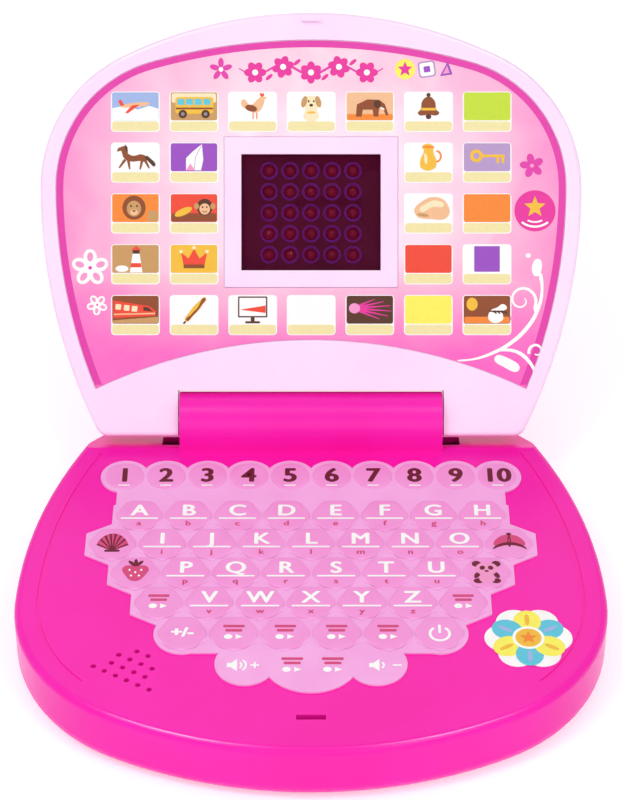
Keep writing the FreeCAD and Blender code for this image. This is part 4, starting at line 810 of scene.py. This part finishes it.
def eyeRims():
    bpy.ops.object.select_all(action="DESELECT")
    bpy.ops.mesh.primitive_circle_add(vertices=32, radius=display["outer"], fill_type="NGON",
                                      location=(0, 0, display["low"]))
    rim = bpy.context.object
    bpy.ops.object.transform_apply(location=True)
    bpy.ops.object.mode_set(mode="EDIT")
    bpy.ops.mesh.select_all(action="SELECT")
    bpy.ops.mesh.inset(thickness=display["outer"] - display["inner"], depth=0)
    bpy.ops.mesh.delete(type="FACE")
    bpy.ops.mesh.select_all(action="SELECT")
    tall = display["high"] - display["low"]
    bpy.ops.mesh.extrude_region_move(TRANSFORM_OT_translate={"value": (0, 0, tall)})
    bpy.ops.object.mode_set(mode="OBJECT")
    rim.data.materials.append(rimPlasticPaintedGlint)
    bevel = rim.modifiers.new("softEdge", "BEVEL")
    bevel.width = display["softEdge"]
    bevel.segments = 2
    bpy.ops.object.modifier_apply(modifier=bevel.name)
    bpy.ops.object.shade_smooth_by_angle(angle=math.radians(40))
    spots = []
    for row in range(display["count"]):
        y = display["level"] + rowSpot(row, display["count"], display["pitch"])
        for column in range(display["count"]):
            spots.append((rim, rowSpot(column, display["count"], display["pitch"]), y))
    rims = copyOver("eyeRim", spots)
    bpy.data.objects.remove(rim)
    return settle(rims, "eyeRims", lidPlace, "lid")


eyeRims()
print("display rims done")

# Deck sticker: a printed flower inside the white die-cut border
sticker = {"middle": (86.5, -128), "ring": 9.4, "petals": 6, "turn": 30, "floor": 29.24, "film": 0.03}
stickerArt = []
leaves = petals(*sticker["middle"], sticker["ring"], 6.4, 5.6, sticker["petals"], sticker["turn"])
veins = petals(*sticker["middle"], sticker["ring"] + 1, 3.2, 1, sticker["petals"], sticker["turn"])
for i, shape in enumerate(leaves):
    ink(stickerArt, "yellow" if i % 2 else "aqua", 1, shape)
for i, shape in enumerate(veins):
    ink(stickerArt, "gold" if i % 2 else "sky", 2, shape)
ink(stickerArt, "white", 3, oval(*sticker["middle"], 6.4, 6.4, 0, 32))
ink(stickerArt, "gold", 4, oval(*sticker["middle"], 5.2, 5.2, 0, 32))
ink(stickerArt, "orange", 5, star(*sticker["middle"], 3.6, 1.7))
printArt("stickerPrint", stickerArt, sticker, basePlace, "base")
print("sticker print done")

# Stage: a white sweep of floor, soft lamps and the photograph's camera
stage = {
    "floor": 8.0, "drop": 0.0002, "world": 0.6, "paper": ("#F4F4F4", "#F6F6F6"), "mottle": 60,
    "glow": 0.36, "farGlow": 0.5, "bounce": 0.15, "near": 0.5, "far": 2.5, "aim": (0, 0.03, 0.06),
}
lamps = {
    "keyLamp": {"at": (-0.55, -0.6, 1.2), "size": 0.4, "watts": 4.1},
    "fillLamp": {"at": (0.5, -0.75, 1.05), "size": 0.4, "watts": 2.8},
    "frontLamp": {"at": (0.1, -1.3, 0.55), "size": 0.9, "watts": 2.0},
    "backLamp": {"at": (0.0, 1.1, 0.9), "size": 0.9, "watts": 1.6},
}
# Bright cards that only show as glints on rounded edges
glints = {
    "leftCard": {"at": (-0.4, -0.15, 1.25), "size": 0.26, "watts": 12.0},
    "rightCard": {"at": (0.4, -0.15, 1.25), "size": 0.26, "watts": 9.5},
}
camera = {"target": (0, 0.0612, 0.029), "distance": 1.2, "rise": 38.8, "lens": 122.4}


def seenDirectly(tree):
    # One where a camera, glossy or transmission ray looks, zero for the light that falls on the object
    path = addNode(tree, "ShaderNodeLightPath")
    seen = path.outputs["Is Camera Ray"]
    for ray in ("Is Glossy Ray", "Is Transmission Ray"):
        seen = addNode(tree, "ShaderNodeMath", links={0: seen, 1: path.outputs[ray]},
                       operation="MAXIMUM").outputs[0]
    return seen


def setStage():
    bpy.ops.object.select_all(action="DESELECT")
    bpy.ops.mesh.primitive_grid_add(x_subdivisions=4, y_subdivisions=4, size=stage["floor"],
                                    location=(0, 0, -stage["drop"]))
    floor = bpy.context.object
    floor.name = "studioFloor"
    finish, tree, shader, spot = startFinish("studioPaper", Roughness=0.9, Specular_IOR_Level=0.0,
                                             Emission_Color=(1, 1, 1, 1))
    weave = addNode(tree, "ShaderNodeTexNoise", {"Scale": perMm(stage["mottle"]), "Detail": 2},
                    {"Vector": spot})
    tone = addNode(tree, "ShaderNodeValToRGB", links={"Fac": weave.outputs["Fac"]},
                   stops=list(zip((0.3, 0.7), stage["paper"])))
    away = addNode(tree, "ShaderNodeVectorMath", links={0: spot}, operation="LENGTH")
    paper = addNode(tree, "ShaderNodeMapRange",
                    {"From Min": stage["near"], "From Max": stage["far"],
                     "To Min": stage["glow"], "To Max": stage["farGlow"]},
                    {"Value": away.outputs["Value"]})
    glow = addNode(tree, "ShaderNodeMapRange", {"To Min": stage["bounce"]},
                   {"Value": seenDirectly(tree), "To Max": paper.outputs["Result"]})
    tree.links.new(tone.outputs["Color"], shader.inputs["Base Color"])
    tree.links.new(glow.outputs["Result"], shader.inputs["Emission Strength"])
    under = addNode(tree, "ShaderNodeNewGeometry").outputs["Backfacing"]  # seen through from below
    clear = addNode(tree, "ShaderNodeBsdfTransparent")
    both = addNode(tree, "ShaderNodeMixShader", links={0: under, 1: shader.outputs[0], 2: clear.outputs[0]})
    tree.links.new(both.outputs[0], tree.nodes["Material Output"].inputs["Surface"])
    floor.data.materials.append(finish)


def setLight():
    world = bpy.data.worlds.new("studioRoom")
    bpy.context.scene.world = world
    world.use_nodes = True
    sky = world.node_tree.nodes["Background"]
    sky.inputs["Color"].default_value = (1, 1, 1, 1)
    level = addNode(world.node_tree, "ShaderNodeMapRange", {"To Min": stage["world"], "To Max": 1.0},
                    {"Value": seenDirectly(world.node_tree)})
    world.node_tree.links.new(level.outputs["Result"], sky.inputs["Strength"])
    for name, lamp in {**lamps, **glints}.items():
        bpy.ops.object.light_add(type="AREA", location=lamp["at"])
        light = bpy.context.object
        light.name = name
        light.data.size = lamp["size"]
        light.data.energy = lamp["watts"]
        light.visible_diffuse = name not in glints
        aim = Vector(stage["aim"]) - Vector(lamp["at"])
        light.rotation_euler = aim.to_track_quat("-Z", "Y").to_euler()


def setCamera():
    rise = math.radians(camera["rise"])
    offset = Vector((0, -math.cos(rise), math.sin(rise))) * camera["distance"]
    bpy.ops.object.camera_add(location=Vector(camera["target"]) + offset,
                              rotation=(math.pi / 2 - rise, 0, 0))
    view = bpy.context.object
    view.data.lens = camera["lens"]
    bpy.context.scene.camera = view


setStage()
setLight()
setCamera()
bpy.context.scene.view_settings.view_transform = "Standard"
print("stage set")
